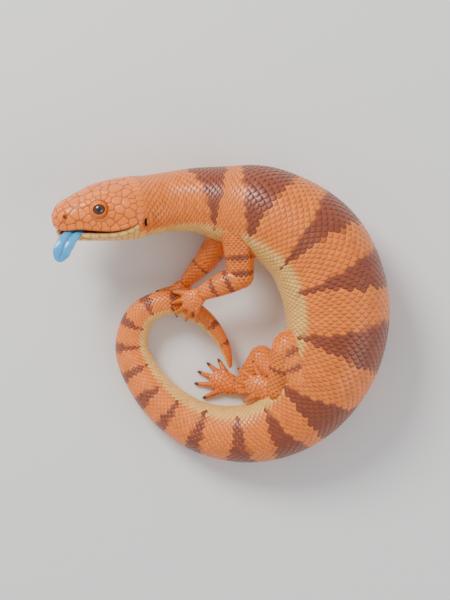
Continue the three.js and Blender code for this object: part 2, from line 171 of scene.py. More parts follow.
def spline(points, steps=40):
    """A curve through points: at(station) gives places and directions, station 1 being the second point."""
    points = np.asarray(points, float)
    padded = np.vstack([2 * points[0] - points[1], points, 2 * points[-1] - points[-2]])
    places = []
    for i in range(len(points) - 1):
        p0, p1, p2, p3 = padded[i : i + 4]
        d0, d1, d2 = [max(np.linalg.norm(b - a), 1e-6) ** 0.5 for a, b in ((p0, p1), (p1, p2), (p2, p3))]
        t1 = d1 * ((p1 - p0) / d0 - (p2 - p0) / (d0 + d1) + (p2 - p1) / d1)
        t2 = d1 * ((p2 - p1) / d1 - (p3 - p1) / (d1 + d2) + (p3 - p2) / d2)
        t = np.arange(steps)[:, None] / steps
        square = 3 * p2 - 3 * p1 - 2 * t1 - t2
        cube = 2 * p1 - 2 * p2 + t1 + t2
        places.append(p1 + t1 * t + square * t**2 + cube * t**3)
    places = np.vstack(places + [points[-1:]])
    stations = np.arange(len(places)) / steps
    directions = unit(np.gradient(places, axis=0))

    def at(station):
        where = [np.interp(station, stations, places[:, k]) for k in range(3)]
        heading = [np.interp(station, stations, directions[:, k]) for k in range(3)]
        return np.stack(where, -1), unit(np.stack(heading, -1))

    return at


def smoothstep(value, low, high):
    """Rises gently from 0 at low to 1 at high."""
    t = np.clip((np.asarray(value, float) - low) / (high - low), 0, 1)
    return t * t * (3 - 2 * t)


def signed_power(value, power):
    """A power that keeps the sign, which squares up a circle's sine and cosine."""
    return np.sign(value) * np.abs(value) ** power


# %% The spine's line
UP = np.array([0.0, 0.0, 1.0])
centre_line = SPINE[:, :3] + SPINE[:, 4:5] * UP
centre_line[:, :2] -= CURL_MIDDLE
spine_curve = spline(centre_line)
LAST_STATION = len(SPINE) - 1
stations = np.arange(len(SPINE))
spine_height = through(np.column_stack([stations, SPINE[:, 3]]))
spine_width = through(np.column_stack([stations, SPINE[:, 4]]))

fine_stations = np.linspace(0, LAST_STATION, 1500)
fine_places = spine_curve(fine_stations)[0]
fine_lengths = np.concatenate([[0], np.cumsum(np.linalg.norm(np.diff(fine_places, axis=0), axis=1))])
SPINE_LENGTH = fine_lengths[-1]
print("spine", round(SPINE_LENGTH, 1), "mm")


# %% Frames and places on the body
def body_frame(station):
    """The middle of the body and its directions: along it, to the back and to the left flank."""
    station = np.asarray(station, float)
    centre, along = spine_curve(station)
    level = unit(np.cross(np.broadcast_to(UP, along.shape), along))
    upright = np.cross(along, level)
    roll = (HEAD_ROLL * (1 - smoothstep(station, 0, ROLL_ENDS_AT)))[..., None]
    dorsal = level * np.cos(roll) + upright * np.sin(roll)
    return centre, along, dorsal, np.cross(along, dorsal)


def body_point(station, angle, out=0.0):
    """A point of the body's surface, angle 0 on the back and a quarter turn on the left flank."""
    centre, along, dorsal, left = body_frame(station)
    height = np.maximum(spine_height(station) + out, THINNEST)
    width = np.maximum(spine_width(station) + out, THINNEST)
    rise = height * signed_power(np.cos(angle), BODY_POWER)
    side = width * signed_power(np.sin(angle), BODY_POWER)
    point = centre + dorsal * rise[..., None] + left * side[..., None]
    point[..., 2] = np.maximum(point[..., 2], -out)
    return point


def station_of(length):
    """The station on the spine at a length in mm from the nape."""
    return np.interp(length, fine_lengths, fine_stations)


back, belly = body_point(np.full(2, station_of(150.0)), np.array([0.0, math.pi]), 0.0)
print("150 mm from the nape the body is", round(float(np.linalg.norm(back - belly)), 1), "mm deep")


# %% [markdown]
# ## The head's shape
# A skink's head is a blunt wedge, widest at the jaw's muscles, with a heavy brow over each eye. It is
# drawn like the body, as sections along an axis, with a few swellings and hollows added. The mouth runs
# along both sides. The sheet of the skin is folded inwards there, so the lips are real edges with a lining
# behind them, and everything below that line is turned a little about the jaw's hinge.

# %% The head's shape
nape_centre, nape_along, nape_dorsal, nape_left = [part[0] for part in body_frame(np.array([0.0]))]
HEAD_AXES = np.array([-nape_along, nape_left, nape_dorsal])
head_width, head_top, head_bottom = [through(HEAD_SECTIONS[:, (0, k)]) for k in (1, 2, 3)]
mouth_height = through(MOUTH_LINE)
HINGE = (MOUTH_CORNER * HEAD_LENGTH, MOUTH_LINE[0, 1])


def from_head(local):
    """From the head's own frame, in mm ahead, left and up from the nape, to the scene's."""
    return nape_centre + np.asarray(local, float) @ HEAD_AXES


def to_head(points):
    """From the scene's frame to the head's own."""
    return (np.asarray(points, float) - nape_centre) @ HEAD_AXES.T


def snout_turn(place):
    """The place along the head and how much its section has shrunk, where the snout rounds off."""
    length = 1 - SNOUT_ROUNDS_FROM
    turn = np.clip((place - SNOUT_ROUNDS_FROM) / length, 0, 1) * math.pi / 2
    share = np.where(place > SNOUT_ROUNDS_FROM, SNOUT_ROUNDS_FROM + length * np.sin(turn), place)
    return share, np.cos(turn)


def head_boxiness(share):
    """The power of the head's sections, squarer from the cheeks on than the body's."""
    return BODY_POWER + (HEAD_POWER - BODY_POWER) * smoothstep(share, 0, 0.35)


def mouth_angle(place):
    """The angle from the crown at which the mouth's line crosses the section."""
    share, shrink = snout_turn(np.asarray(place, float))
    depth = np.abs(mouth_height(share)) / np.maximum(head_bottom(share) * shrink, 1e-6)
    return np.arccos(-np.clip(depth, 0, 1) ** (1 / head_boxiness(share)))


def head_local(place, angle, out=0.0, opened=None):
    """A point of the head in its own frame. opened marks what belongs to the lower jaw."""
    place, angle = np.broadcast_arrays(np.asarray(place, float), np.asarray(angle, float))
    share, shrink = snout_turn(place)
    rise = signed_power(np.cos(angle), head_boxiness(share))
    side = signed_power(np.sin(angle), BODY_POWER)
    above = rise * np.where(rise > 0, head_top(share), head_bottom(share))
    swell = np.zeros_like(above)
    for where, around, size, reach, spread in SWELLINGS:
        swell += size * np.exp(-(((share - where) / reach) ** 2) - ((np.abs(angle) - around) / spread) ** 2)
    from_mouth = np.abs(above * shrink - mouth_height(share))
    from_lip = (from_mouth - LIP["from_mouth"]) / LIP["reach"]
    swell += smoothstep(share, MOUTH_CORNER, LIP["full_at"]) * LIP["size"] * np.exp(-(from_lip**2))
    across = side * (head_width(share) + swell + out) * shrink
    lifted = (above + rise * (swell + out)) * shrink
    ahead = share * HEAD_LENGTH + out * np.sqrt(1 - shrink**2)
    local = np.stack([ahead, across, lifted], -1)
    if opened is None:
        opened = np.abs(angle) > mouth_angle(place) + 1e-6
    turn = np.where(opened, -JAW_OPEN * smoothstep(ahead, HINGE[0] - 4, HINGE[0] + 10), 0.0)
    dx = local[..., 0] - HINGE[0]
    dz = local[..., 2] - HINGE[1]
    local[..., 0] = HINGE[0] + dx * np.cos(turn) - dz * np.sin(turn)
    local[..., 2] = HINGE[1] + dx * np.sin(turn) + dz * np.cos(turn)
    return local


print("the mouth is", round(math.degrees(float(mouth_angle(0.6)))), "degrees round the head from its top")


# %% [markdown]
# ## Making meshes
# Every piece becomes a mesh from numbers: places, faces and a colour at each corner. Writing the arrays in
# one go is far quicker than adding vertices one by one with operators.


# %% Making meshes
def make_piece(name, points, faces, material, colours=None, uv=None):
    """A mesh object in metres that rides on the root body."""
    mesh = bpy.data.meshes.new(name)
    sizes = np.array([len(face) for face in faces])
    corners = np.concatenate([np.asarray(face) for face in faces]).astype(np.int32)
    mesh.vertices.add(len(points))
    mesh.vertices.foreach_set("co", (np.asarray(points) * MM).astype(np.float32).ravel())
    mesh.loops.add(len(corners))
    mesh.loops.foreach_set("vertex_index", corners)
    mesh.polygons.add(len(sizes))
    mesh.polygons.foreach_set("loop_start", np.concatenate([[0], np.cumsum(sizes)[:-1]]).astype(np.int32))
    mesh.polygons.foreach_set("loop_total", sizes.astype(np.int32))
    mesh.update(calc_edges=True)
    mesh.validate()
    mesh.shade_smooth()
    if colours is not None:
        paint(mesh, colours)
    if uv is not None:
        layer = mesh.uv_layers.new(name="OFBake")
        layer.data.foreach_set("uv", np.asarray(uv, np.float32)[corners].ravel())
    piece = bpy.data.objects.new(name, mesh)
    bpy.context.scene.collection.objects.link(piece)
    piece.data.materials.append(material)
    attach(piece, "root")
    return piece


def paint(mesh, colours):
    """Stores a colour at each point, where the materials read the markings and the painted shade."""
    rows = np.column_stack([colours, np.ones(len(colours))]).astype(np.float32)
    attribute = mesh.color_attributes.new(name="Markings", type="FLOAT_COLOR", domain="POINT")
    attribute.data.foreach_set("color", rows.ravel())


# %% Welding
def weld(piece, gap=0.004):
    """Joins points that fall on one another, as at the poles of a ball, and drops folds with no inside."""
    work = bmesh.new()
    work.from_mesh(piece.data)
    merged = bmesh.ops.find_doubles(work, verts=work.verts, dist=gap * MM)["targetmap"]
    on_points = {}
    for face in work.faces:
        corners = frozenset(merged.get(vertex, vertex) for vertex in face.verts)
        if len(corners) > 2:
            on_points.setdefault(corners, []).append(face)
    folded = [face for pair in on_points.values() if len(pair) > 1 for face in pair]
    bmesh.ops.delete(work, geom=folded, context="FACES_ONLY")
    bmesh.ops.weld_verts(work, targetmap=merged)
    loose_edges = [edge for edge in work.edges if not edge.link_faces]
    bmesh.ops.delete(work, geom=loose_edges, context="EDGES")
    loose_points = [vertex for vertex in work.verts if not vertex.link_faces]
    bmesh.ops.delete(work, geom=loose_points, context="VERTS")
    bmesh.ops.recalc_face_normals(work, faces=work.faces)
    work.to_mesh(piece.data)
    work.free()


# %% Grids of points
def grid_faces(rows, columns, closed):
    """Quads of a grid of points, row by row; closed joins the last column to the first."""
    across = columns if closed else columns - 1
    r, c = np.meshgrid(np.arange(rows - 1), np.arange(across), indexing="ij")
    a = (r * columns + c).ravel()
    b = (r * columns + (c + 1) % columns).ravel()
    return np.column_stack([a, b, b + columns, a + columns]).tolist()


def round_grid(rows, columns):
    """For each point of a closed grid, its row from 0 to 1 and its turn round the circle."""
    share = np.repeat(np.linspace(0, 1, rows), columns)
    turn = np.tile(np.linspace(0, 2 * math.pi, columns, endpoint=False), rows)
    return share, turn


def joined(parts):
    """The points and faces of several parts as those of one."""
    points = []
    faces = []
    offset = 0
    for places, polygons in parts:
        points.append(places)
        faces += [[offset + i for i in face] for face in polygons]
        offset += len(places)
    return np.vstack(points), faces


# %% [markdown]
# ## Limbs and feet
# Each limb is an upper and a lower length with round ends, then a foot: a flat pad, five short toes and
# claws. A skink's limbs are small for its body. The left hand lies on the tail and the left foot hangs
# over the tail's tip, as in the picture, and the right ones lie on the floor.

# %% Sizes of the limbs and feet
HAND = {
    "pad": (14, 14, 7.4),
    "toes": [(-44, 10), (-22, 12.5), (0, 13.5), (20, 13), (44, 10.5)],
    "pitch": 2.7,
    "radius": 2.2,
    "claw": 4.2,
}
HIND_FOOT = {
    "pad": (19, 15, 8.4),
    "toes": [(-42, 10), (-23, 13.5), (-4, 15.5), (14, 16.5), (42, 12)],
    "pitch": 2.8,
    "radius": 2.3,
    "claw": 4.4,
}
LIMBS = {
    "left_fore": {
        "joints": [(12.0, 56.0, 44.0), (14.5, 22.0, 39.5), (-9.5, 11.5, 35.0)],
        "radii": (12.5, 10.6, 9.0, 8.2, 6.0),
        "foot": HAND,
        "heel": (-12.0, 10.2, 33.0),
        "ahead": (-0.8, -0.6, -0.08),
        "back": (0, 0.1, 1),
        "handed": 1,
        "arch": 0.8,
        "curl": 6.0,
        "claw_floor": 1.0,
    },
    "right_fore": {
        "joints": [(5.0, 54.0, 15.5), (-9.0, 33.5, 10.0), (-22.0, 19.5, 6.6)],
        "radii": (11.0, 9.4, 8.2, 7.0, 5.2),
        "foot": HAND,
        "heel": (-24.0, 17.0, 3.9),
        "ahead": (-0.55, -0.83, -0.02),
        "back": (0, 0, 1),
        "handed": -1,
        "arch": -1.0,
        "curl": 0.6,
        "claw_floor": 2.4,
    },
    "left_hind": {
        "joints": [(62.0, -50.0, 42.0), (46.5, -25.5, 49.0), (38.5, -55.0, 42.5)],
        "radii": (18.0, 15.5, 11.5, 10.0, 7.2),
        "foot": HIND_FOOT,
        "heel": (36.5, -55.5, 38.0),
        "ahead": (-0.93, 0.27, -0.25),
        "back": (-0.2, 0, 1),
        "handed": 1,
        "arch": 0.6,
        "curl": 3.0,
        "claw_floor": 1.0,
    },
    "right_hind": {
        "joints": [(52.0, -59.5, 15.0), (29.0, -35.0, 11.5), (15.0, -54.5, 7.4)],
        "radii": (14.0, 12.2, 9.8, 8.2, 6.2),
        "foot": HIND_FOOT,
        "heel": (12.5, -54.0, 4.5),
        "ahead": (-0.95, 0.31, -0.03),
        "back": (0, 0, 1),
        "handed": -1,
        "arch": -1.2,
        "curl": 0.6,
        "claw_floor": 2.4,
    },
}


# %% Lengths of a limb
LIMB_LOWEST = 0.02


def shifted(point):
    """A place of the tables, moved to the middle of the curl."""
    return np.asarray(point, float) - (*CURL_MIDDLE, 0)


def lowest(out):
    """The least height of a surface: a sunk one stays clear of the floor by as much."""
    return np.maximum(-np.asarray(out), LIMB_LOWEST)


def tube(joints, radii):
    """A round-ended length along joints: its point(share, angle, out), its span and its radius."""
    curve = spline(joints)
    last = len(joints) - 1
    radius = through(np.column_stack([np.linspace(0, 1, len(radii)), radii]))
    span = sum(np.linalg.norm(np.subtract(b, a)) for a, b in zip(joints, joints[1:]))

    def point(share, angle, out=0.0):
        share, angle = np.broadcast_arrays(np.asarray(share, float), np.asarray(angle, float))
        inside = np.clip(share, 0, 1)
        centre, along = curve(inside * last)
        reach = radius(inside) + out
        beyond = np.clip((share - inside) * span / radius(inside), -1, 1)
        cap = np.sin(beyond * math.pi / 2)
        girth = reach * np.sqrt(np.maximum(0, 1 - cap**2))
        level = unit(np.cross(np.broadcast_to(UP, along.shape), along))
        upright = np.cross(along, level)
        place = centre + along * (cap * reach)[..., None]
        place += level * (girth * np.cos(angle))[..., None]
        place += upright * (girth * np.sin(angle))[..., None]
        place[..., 2] = np.maximum(place[..., 2], lowest(out))
        return place

    return {"point": point, "span": span, "radius": radius}


# %% Feet and toes
PAD_MIDDLE = 0.45
PAD_REACH = 0.62
TOE_PARTS = (0, 0.35, 0.7, 1)
TOE_TAPER = np.array([1, 0.95, 0.72])
CLAW_DROOP = 0.35


def foot_axes(limb):
    """The heel and the foot's directions: to its side, ahead and out of its back."""
    ahead = unit(np.array(limb["ahead"], float))
    back = np.array(limb["back"], float)
    back = unit(back - ahead * back.dot(ahead))
    return shifted(limb["heel"]), np.cross(ahead, back), ahead, back


def pad_of(limb):
    """The flat pad of a foot, as an oval in its own axes."""
    heel, side, ahead, back = foot_axes(limb)
    length, width, thickness = limb["foot"]["pad"]
    return {
        "centre": heel + ahead * length * PAD_MIDDLE,
        "axes": np.array([side, ahead, back]),
        "sizes": np.array([width / 2, length * PAD_REACH, thickness / 2]),
    }


def toes_of(limb):
    """Each toe as a tube, with the place and aim of its claw."""
    heel, side, ahead, back = foot_axes(limb)
    kind = limb["foot"]
    toes = []
    for i, (spread, reach) in enumerate(kind["toes"]):
        turn = math.radians(spread)
        shift = (i - 2) * kind["pitch"] * limb["handed"]
        root = kind["pad"][0] * (PAD_REACH - 0.05 * abs(i - 2))

        def at(part):
            distance = part * reach
            forward = ahead * (root + math.cos(turn) * distance)
            sideways = side * (shift + math.sin(turn) * limb["handed"] * distance)
            return heel + forward + sideways + back * (limb["arch"] * part - limb["curl"] * part**2)

        joints = [at(part) for part in TOE_PARTS]
        aim = unit(unit(at(1.12) - at(1)) - back * CLAW_DROOP)
        start = at(1) + aim * kind["radius"] * 0.35
        start[2] = max(start[2], limb["claw_floor"])
        claw = (start, aim, kind["claw"], kind["radius"], back)
        toes.append({"tube": tube(joints, kind["radius"] * TOE_TAPER), "claw": claw})
    return toes


def oval_point(pad, across, along, out=0.0):
    """A point of the pad: across is the angle round its flat edge, along runs from its back to its sole."""
    sizes = pad["sizes"] + out
    local = np.stack([np.sin(along) * np.cos(across), np.sin(along) * np.sin(across), np.cos(along)], -1)
    place = pad["centre"] + (local * sizes) @ pad["axes"]
    place[..., 2] = np.maximum(place[..., 2], lowest(out))
    return place


# %% The four limbs
limbs = {}
for name, limb in LIMBS.items():
    joints = [shifted(joint) for joint in limb["joints"]]
    limbs[name] = {
        "upper": tube(joints[:2], limb["radii"][:3]),
        "lower": tube(joints[1:], limb["radii"][2:]),
        "pad": pad_of(limb),
        "toes": toes_of(limb),
        "left": name.startswith("left"),
    }
print("limbs", {name: round(limb["upper"]["span"] + limb["lower"]["span"]) for name, limb in limbs.items()})

# %% [markdown]
# ## Markings
# The back is orange, crossed by russet bands that are wide at the spine and run out to a point low on the
# flank, and the belly, throat and lower lip are cream. A real skink's pattern is a mosaic: each scale has
# one colour. So the pattern is a function of place, asked once for each scale, and the skin under the
# scales asks the same function.

# %% Markings
ORANGE = np.array([0.95, 0.215, 0.018])
RUSSET = np.array([0.3, 0.062, 0.022])
CREAM = np.array([0.98, 0.55, 0.14])
MOUTH_PINK = np.array([0.33, 0.055, 0.065])
# DARK is the pupil's own colour, and also the painted shade deep in the mouth, ears and nostrils
DARK = np.array([0.02, 0.008, 0.006])

# Each band: where it starts and ends on the back, in mm from the nape, and how far its point lags
BANDS = [(25, 47, 15), (62, 88, 7), (104, 124, 5), (138, 157, 3), (172, 200, 3), (219, 243, 2)]
BANDS += [(250, 269, 0), (279, 295, 0), (309, 320, 0), (333, 341, 0), (351, 361, 0), (370, 378, 0)]
BANDS += [(388, 395, 0), (404, 411, 0), (420, 427, 0), (436, 442, 0), (452, 458, 0), (468, 473, 0)]
BANDS += [(483, 487, 0)]
BAND_POINTEDNESS = 0.8
band_reach = np.random.default_rng(SEED).uniform(0.86, 0.94, len(BANDS))

# Where the belly's cream begins: mm from the nape, and the share of the way from back to belly
BELLY_FROM = np.array([(0, 0.7), (60, 0.74), (120, 0.7), (240, 0.7), (300, 0.66), (500, 0.7)])
BELLY_EDGE = 0.03
TONE_LIMITS = (0.8, 1.2)
print(len(BANDS), "bands")


def mix(a, b, t):
    """Colour a where t is 0 and colour b where it is 1."""
    t = np.asarray(t)[..., None]
    return a * (1 - t) + b * t


def body_colour(length, angle):
    """The colour at a length from the nape and an angle from the back."""
    round_share = np.abs(angle) / math.pi
    seen_share = (1 - np.cos(angle)) / 2
    belly_from = np.interp(length, *BELLY_FROM.T)
    belly = smoothstep(round_share, belly_from - BELLY_EDGE, belly_from + BELLY_EDGE)
    colour = mix(ORANGE, CREAM, belly)
    for (start, end, lag), reach in zip(BANDS, band_reach):
        middle = (start + end) / 2 + lag * round_share
        half = (end - start) / 2 * np.clip(1 - seen_share / reach, 0, 1) ** BAND_POINTEDNESS
        inside = smoothstep(half - np.abs(length - middle), -0.4, 0.6) * (half > 0.3)
        colour = mix(colour, RUSSET, inside)
    return colour


def head_colour(place, angle, lower):
    """Orange above, cream on the lower jaw and the throat."""
    share = snout_turn(np.asarray(place, float))[0]
    throat = smoothstep(np.abs(angle), 1.95, 2.2)
    jaw = np.where(lower, 1.0, 0.0)
    return mix(ORANGE, CREAM, np.where(share > MOUTH_CORNER, jaw, throat))


def limb_colour(share, facing, bars):
    """Orange with a few dark bars, paler underneath; facing is 1 on its outer side, -1 underneath."""
    colour = mix(ORANGE, CREAM, smoothstep(-facing, 0.25, 0.6))
    for start, end in bars:
        half = (end - start) / 2 * np.clip(0.35 + 0.65 * facing, 0, 1)
        colour = mix(colour, RUSSET, smoothstep(half - np.abs(share - (start + end) / 2), -0.01, 0.02))
    return colour


# %% [markdown]
# ## Materials
# Skink scales are smooth and shiny, like polished horn, over a skin that is only a little softer. The
# markings come from the colour attribute on each mesh, and so does the shade painted where parts meet, in
# grooves and in the pits. One node group adds what every surface here needs: small uneven patches of tone
# and of polish, and a very fine grain. The shader itself stays in the material, so that the export can
# read it.


# %% Nodes with their inputs
def plug(tree, node, inputs):
    """Fills a node's inputs: a number is set, and the output of another node is linked."""
    for name, value in inputs.items():
        if isinstance(value, bpy.types.NodeSocket):
            tree.links.new(value, node.inputs[name])
        else:
            node.inputs[name].default_value = value


def add_node(tree, kind, inputs, **settings):
    """Adds a node with its settings and inputs, and gives its outputs."""
    node = tree.nodes.new(f"ShaderNode{kind}")
    for name, setting in settings.items():
        setattr(node, name, setting)
    plug(tree, node, inputs)
    return node.outputs


# %% A node group for living surfaces
SURFACE_INPUTS = [
    ("Colour", "NodeSocketColor", (0.8, 0.8, 0.8, 1)),
    ("Patch size", "NodeSocketFloat", 120.0),
    ("Patchiness", "NodeSocketFloat", 0.1),
    ("Polish", "NodeSocketFloat", 0.35),
    ("Grain size", "NodeSocketFloat", 1500.0),
]
SURFACE_OUTPUTS = [
    ("Colour", "NodeSocketColor"),
    ("Roughness", "NodeSocketFloat"),
    ("Height", "NodeSocketFloat"),
]
ROUGHNESS_SWING = 0.3


def living_surface():
    """Patches change the tone and the polish, and the grain is a height for the material's bump."""
    group = bpy.data.node_groups.new("Living surface", "ShaderNodeTree")
    for name, kind, default in SURFACE_INPUTS:
        socket = group.interface.new_socket(name, in_out="INPUT", socket_type=kind)
        socket.default_value = default
    for name, kind in SURFACE_OUTPUTS:
        group.interface.new_socket(name, in_out="OUTPUT", socket_type=kind)
    given = group.nodes.new("NodeGroupInput").outputs
    where = add_node(group, "TexCoord", {})["Object"]

    def noise(size, detail):
        return add_node(group, "TexNoise", {"Vector": where, "Scale": size, "Detail": detail})["Fac"]

    def calculate(operation, *values):
        return add_node(group, "Math", dict(enumerate(values)), operation=operation)["Value"]

    swing = calculate("SUBTRACT", noise(given["Patch size"], 3), 0.5)
    tone = calculate("MULTIPLY_ADD", swing, given["Patchiness"], 1.0)
    tinted = add_node(group, "VectorMath", {0: given["Colour"], "Scale": tone}, operation="SCALE")["Vector"]
    rough = calculate("MULTIPLY_ADD", swing, ROUGHNESS_SWING, given["Polish"])
    grain = noise(given["Grain size"], 2)
    plug(group, group.nodes.new("NodeGroupOutput"), {"Colour": tinted, "Roughness": rough, "Height": grain})
    return group


LIVING_SURFACE = living_surface()
print("node group:", LIVING_SURFACE.name, "with", len(LIVING_SURFACE.nodes), "nodes")

# %% The materials
GRAIN_HEIGHT = 0.0004
COAT_ROUGHNESS = 0.18


def living_material(name, polish=0.35, patchiness=0.25, patch=110, grain=1500, bump=0.06, coat=0.3):
    """A material coloured by the markings and the painted shade, with the living surface's unevenness of its
    own size.
    """
    material = bpy.data.materials.new(name)
    material.use_nodes = True
    tree = material.node_tree
    own_values = {
        "Colour": add_node(tree, "Attribute", {}, attribute_name="Markings")["Color"],
        "Patch size": patch,
        "Patchiness": patchiness,
        "Polish": polish,
        "Grain size": grain,
    }
    surface = add_node(tree, "Group", own_values, node_tree=LIVING_SURFACE)
    grain_bump = {"Height": surface["Height"], "Strength": bump, "Distance": GRAIN_HEIGHT}
    relief = add_node(tree, "Bump", grain_bump)
    look = {
        "Base Color": surface["Colour"],
        "Roughness": surface["Roughness"],
        "Normal": relief["Normal"],
        "Coat Weight": coat,
        "Coat Roughness": COAT_ROUGHNESS,
    }
    plug(tree, tree.nodes["Principled BSDF"], look)
    return material


SCALES = living_material("Banded scales", polish=0.38, coat=0.2)
SKIN = living_material("Skin between the scales", polish=0.55, bump=0.25, coat=0.05)
TONGUE = living_material("Wet blue tongue", 0.22, patchiness=0.5, patch=260, grain=900, bump=0.5, coat=0.8)
EYE_LOOK = living_material("Dark eye", polish=0.1, patchiness=0.3, bump=0.0, coat=1.0)
CLAW = living_material("Horn of the claws", polish=0.3, patchiness=0.4, patch=400, bump=0.1, coat=0.3)
print("materials:", [material.name for material in (SCALES, SKIN, TONGUE, EYE_LOOK, CLAW)])

# %% [markdown]
# ## The skin
# The trunk, tail, limbs and feet are first separate closed shells that run into one another. A voxel remesh
# turns them into one skin, and a little smoothing rounds the folds where a limb leaves the body. Boolean
# unions would keep hard creases there. The skin lies a coat's depth inside the solids, so that the scales
# bring it back to size.


# %% Closed shells
TAIL_ROUNDS_OVER = 0.25


def shell(point, rows, columns):
    """A closed shell from point(row share, column angle); the ends close in a point."""
    points = point(*round_grid(rows, columns))
    ends = [points[:columns].mean(0), points[-columns:].mean(0)]
    faces = grid_faces(rows, columns, True)
    first = len(points)
    for c in range(columns):
        n = (c + 1) % columns
        faces.append([first, n, c])
        faces.append([first + 1, (rows - 1) * columns + c, (rows - 1) * columns + n])
    return np.vstack([points, ends]), faces


def tube_shell(part, rows=26, columns=28, out=-COAT):
    """The shell of a limb's length, with its round ends."""
    before, beyond = [float(part["radius"](end)) / part["span"] for end in (0.0, 1.0)]
    whole = 1 + before + beyond
    return shell(lambda row, angle: part["point"](row * whole - before, angle, out), rows, columns)


def tail_taper(station):
    """How much of its girth the tail keeps, where its tip rounds off."""
    beyond = np.maximum(0, (station - (LAST_STATION - TAIL_ROUNDS_OVER)) / TAIL_ROUNDS_OVER)
    return np.sqrt(np.clip(1 - beyond**2, 0, 1))


def trunk_shell():
    """The shell of the trunk and tail, from the nape to the tip."""

    def point(row, angle):
        station = row * LAST_STATION
        centre = spine_curve(station)[0]
        place = body_point(station, angle, -COAT)
        return centre + (place - centre) * tail_taper(station)[:, None]

    return shell(point, 420, 72)


# %% One skin for body and limbs
VOXEL = 0.75
TOE_SINKS = 0.25
PAD_SINKS = 0.3

shells = [trunk_shell()]
for limb in limbs.values():
    shells += [tube_shell(limb["upper"]), tube_shell(limb["lower"])]
    shells += [tube_shell(toe["tube"], 14, 12, -TOE_SINKS) for toe in limb["toes"]]
    pad = limb["pad"]
    shells.append(shell(lambda row, angle: oval_point(pad, angle, row * math.pi, -PAD_SINKS), 16, 24))
skin_points, skin_faces = joined(shells)
body_skin = make_piece("skin_body", skin_points, skin_faces, SKIN)
remesh = body_skin.modifiers.new("One skin", "REMESH")
remesh.mode = "VOXEL"
remesh.voxel_size = VOXEL * MM
relax = body_skin.modifiers.new("Soft folds", "SMOOTH")
relax.factor = 0.5
relax.iterations = 6
bpy.context.view_layer.update()
evaluated = body_skin.evaluated_get(bpy.context.evaluated_depsgraph_get())
relaxed = bpy.data.meshes.new_from_object(evaluated)
body_skin.modifiers.clear()
body_skin.data = relaxed
relaxed.shade_smooth()
relaxed.materials.clear()
relaxed.materials.append(SKIN)
print("skin of the body:", len(relaxed.vertices), "vertices")


# %% Where the skin lies, for scales to find it
SKIN_LOWEST = 0.3
FAR = 99.0


def coordinates(mesh):
    """The places of a mesh's points, in mm."""
    flat = np.empty(len(mesh.vertices) * 3, np.float32)
    mesh.vertices.foreach_get("co", flat)
    return flat.reshape(-1, 3).astype(float) / MM


def tree_of(points, faces):
    """A tree of a surface given by its points and faces."""
    return BVHTree.FromPolygons([Vector(p) for p in points], faces)


def surface_tree(mesh):
    """A tree in which the nearest place of a mesh's surface is found quickly."""
    return tree_of(coordinates(mesh), [list(face.vertices) for face in mesh.polygons])


body_places = coordinates(relaxed)
body_places[:, 2] = np.maximum(body_places[:, 2], SKIN_LOWEST)
relaxed.vertices.foreach_set("co", (body_places * MM).astype(np.float32).ravel())
body_tree = surface_tree(relaxed)


def distances(tree, points):
    """How far each point is from the surface of a tree, in mm."""
    found = [tree.find_nearest(Vector(p)) for p in points]
    return np.array([FAR if hit[3] is None else hit[3] for hit in found])


print("the skin starts", round(float(body_places[:, 2].min()), 2), "mm above the floor")


# %% The markings of the skin, with painted shade between the scales
sample_stations = np.linspace(0, LAST_STATION, 700)
sample_centres = body_frame(sample_stations)[0]
AT_ONCE = 4000
NEAR_BODY = 2.0
CREVICE_SHADE = 0.62


def nearest_station(points):
    """The station and angle of each point, by its nearest place on the spine's line."""
    station = np.empty(len(points))
    for start in range(0, len(points), AT_ONCE):
        block = points[start : start + AT_ONCE]
        gaps = np.linalg.norm(block[:, None] - sample_centres[None], axis=2)
        gaps /= spine_width(sample_stations) ** 0.5
        station[start : start + AT_ONCE] = sample_stations[np.argmin(gaps, axis=1)]
    centre, along, dorsal, left = body_frame(station)
    offset = points - centre
    return station, np.arctan2((offset * left).sum(1), (offset * dorsal).sum(1))


skin_station, skin_angle = nearest_station(body_places)
skin_colours = body_colour(np.interp(skin_station, fine_stations, fine_lengths), skin_angle)
from_body = np.linalg.norm(body_places - body_point(skin_station, skin_angle, -COAT), axis=1)
skin_colours[from_body >= NEAR_BODY] = ORANGE
# The skin is darkened to CREVICE_SHADE of its colour: painted shade in the crevices between the scales
paint(relaxed, skin_colours * CREVICE_SHADE)
print("points of the body's skin with the body's markings:", int((from_body < NEAR_BODY).sum()))

# %% [markdown]
# ## Overlapping scales
# The body's scales are broad plates with a round hind edge, laid like roof tiles: each one covers the front
# of those behind it, and every second column is half a scale further on. A pattern of bumps in the material
# would look flat from the side, so each scale is a small solid plate. They are all one shape, bent onto the
# body by its own coordinates, which makes many thousands of them quick to lay.


# %% A scale's shape
HIND_ROUNDNESS = 0.42
FRONT_HOLLOW = 0.18
SCALE_RISE = 0.85
SCALE_ARCH = 0.22
EDGE_DROP = 0.16
SCALE_DEPTH = 0.62
COAT_LOWEST = 0.03
CHART_SCALE = 0.0015


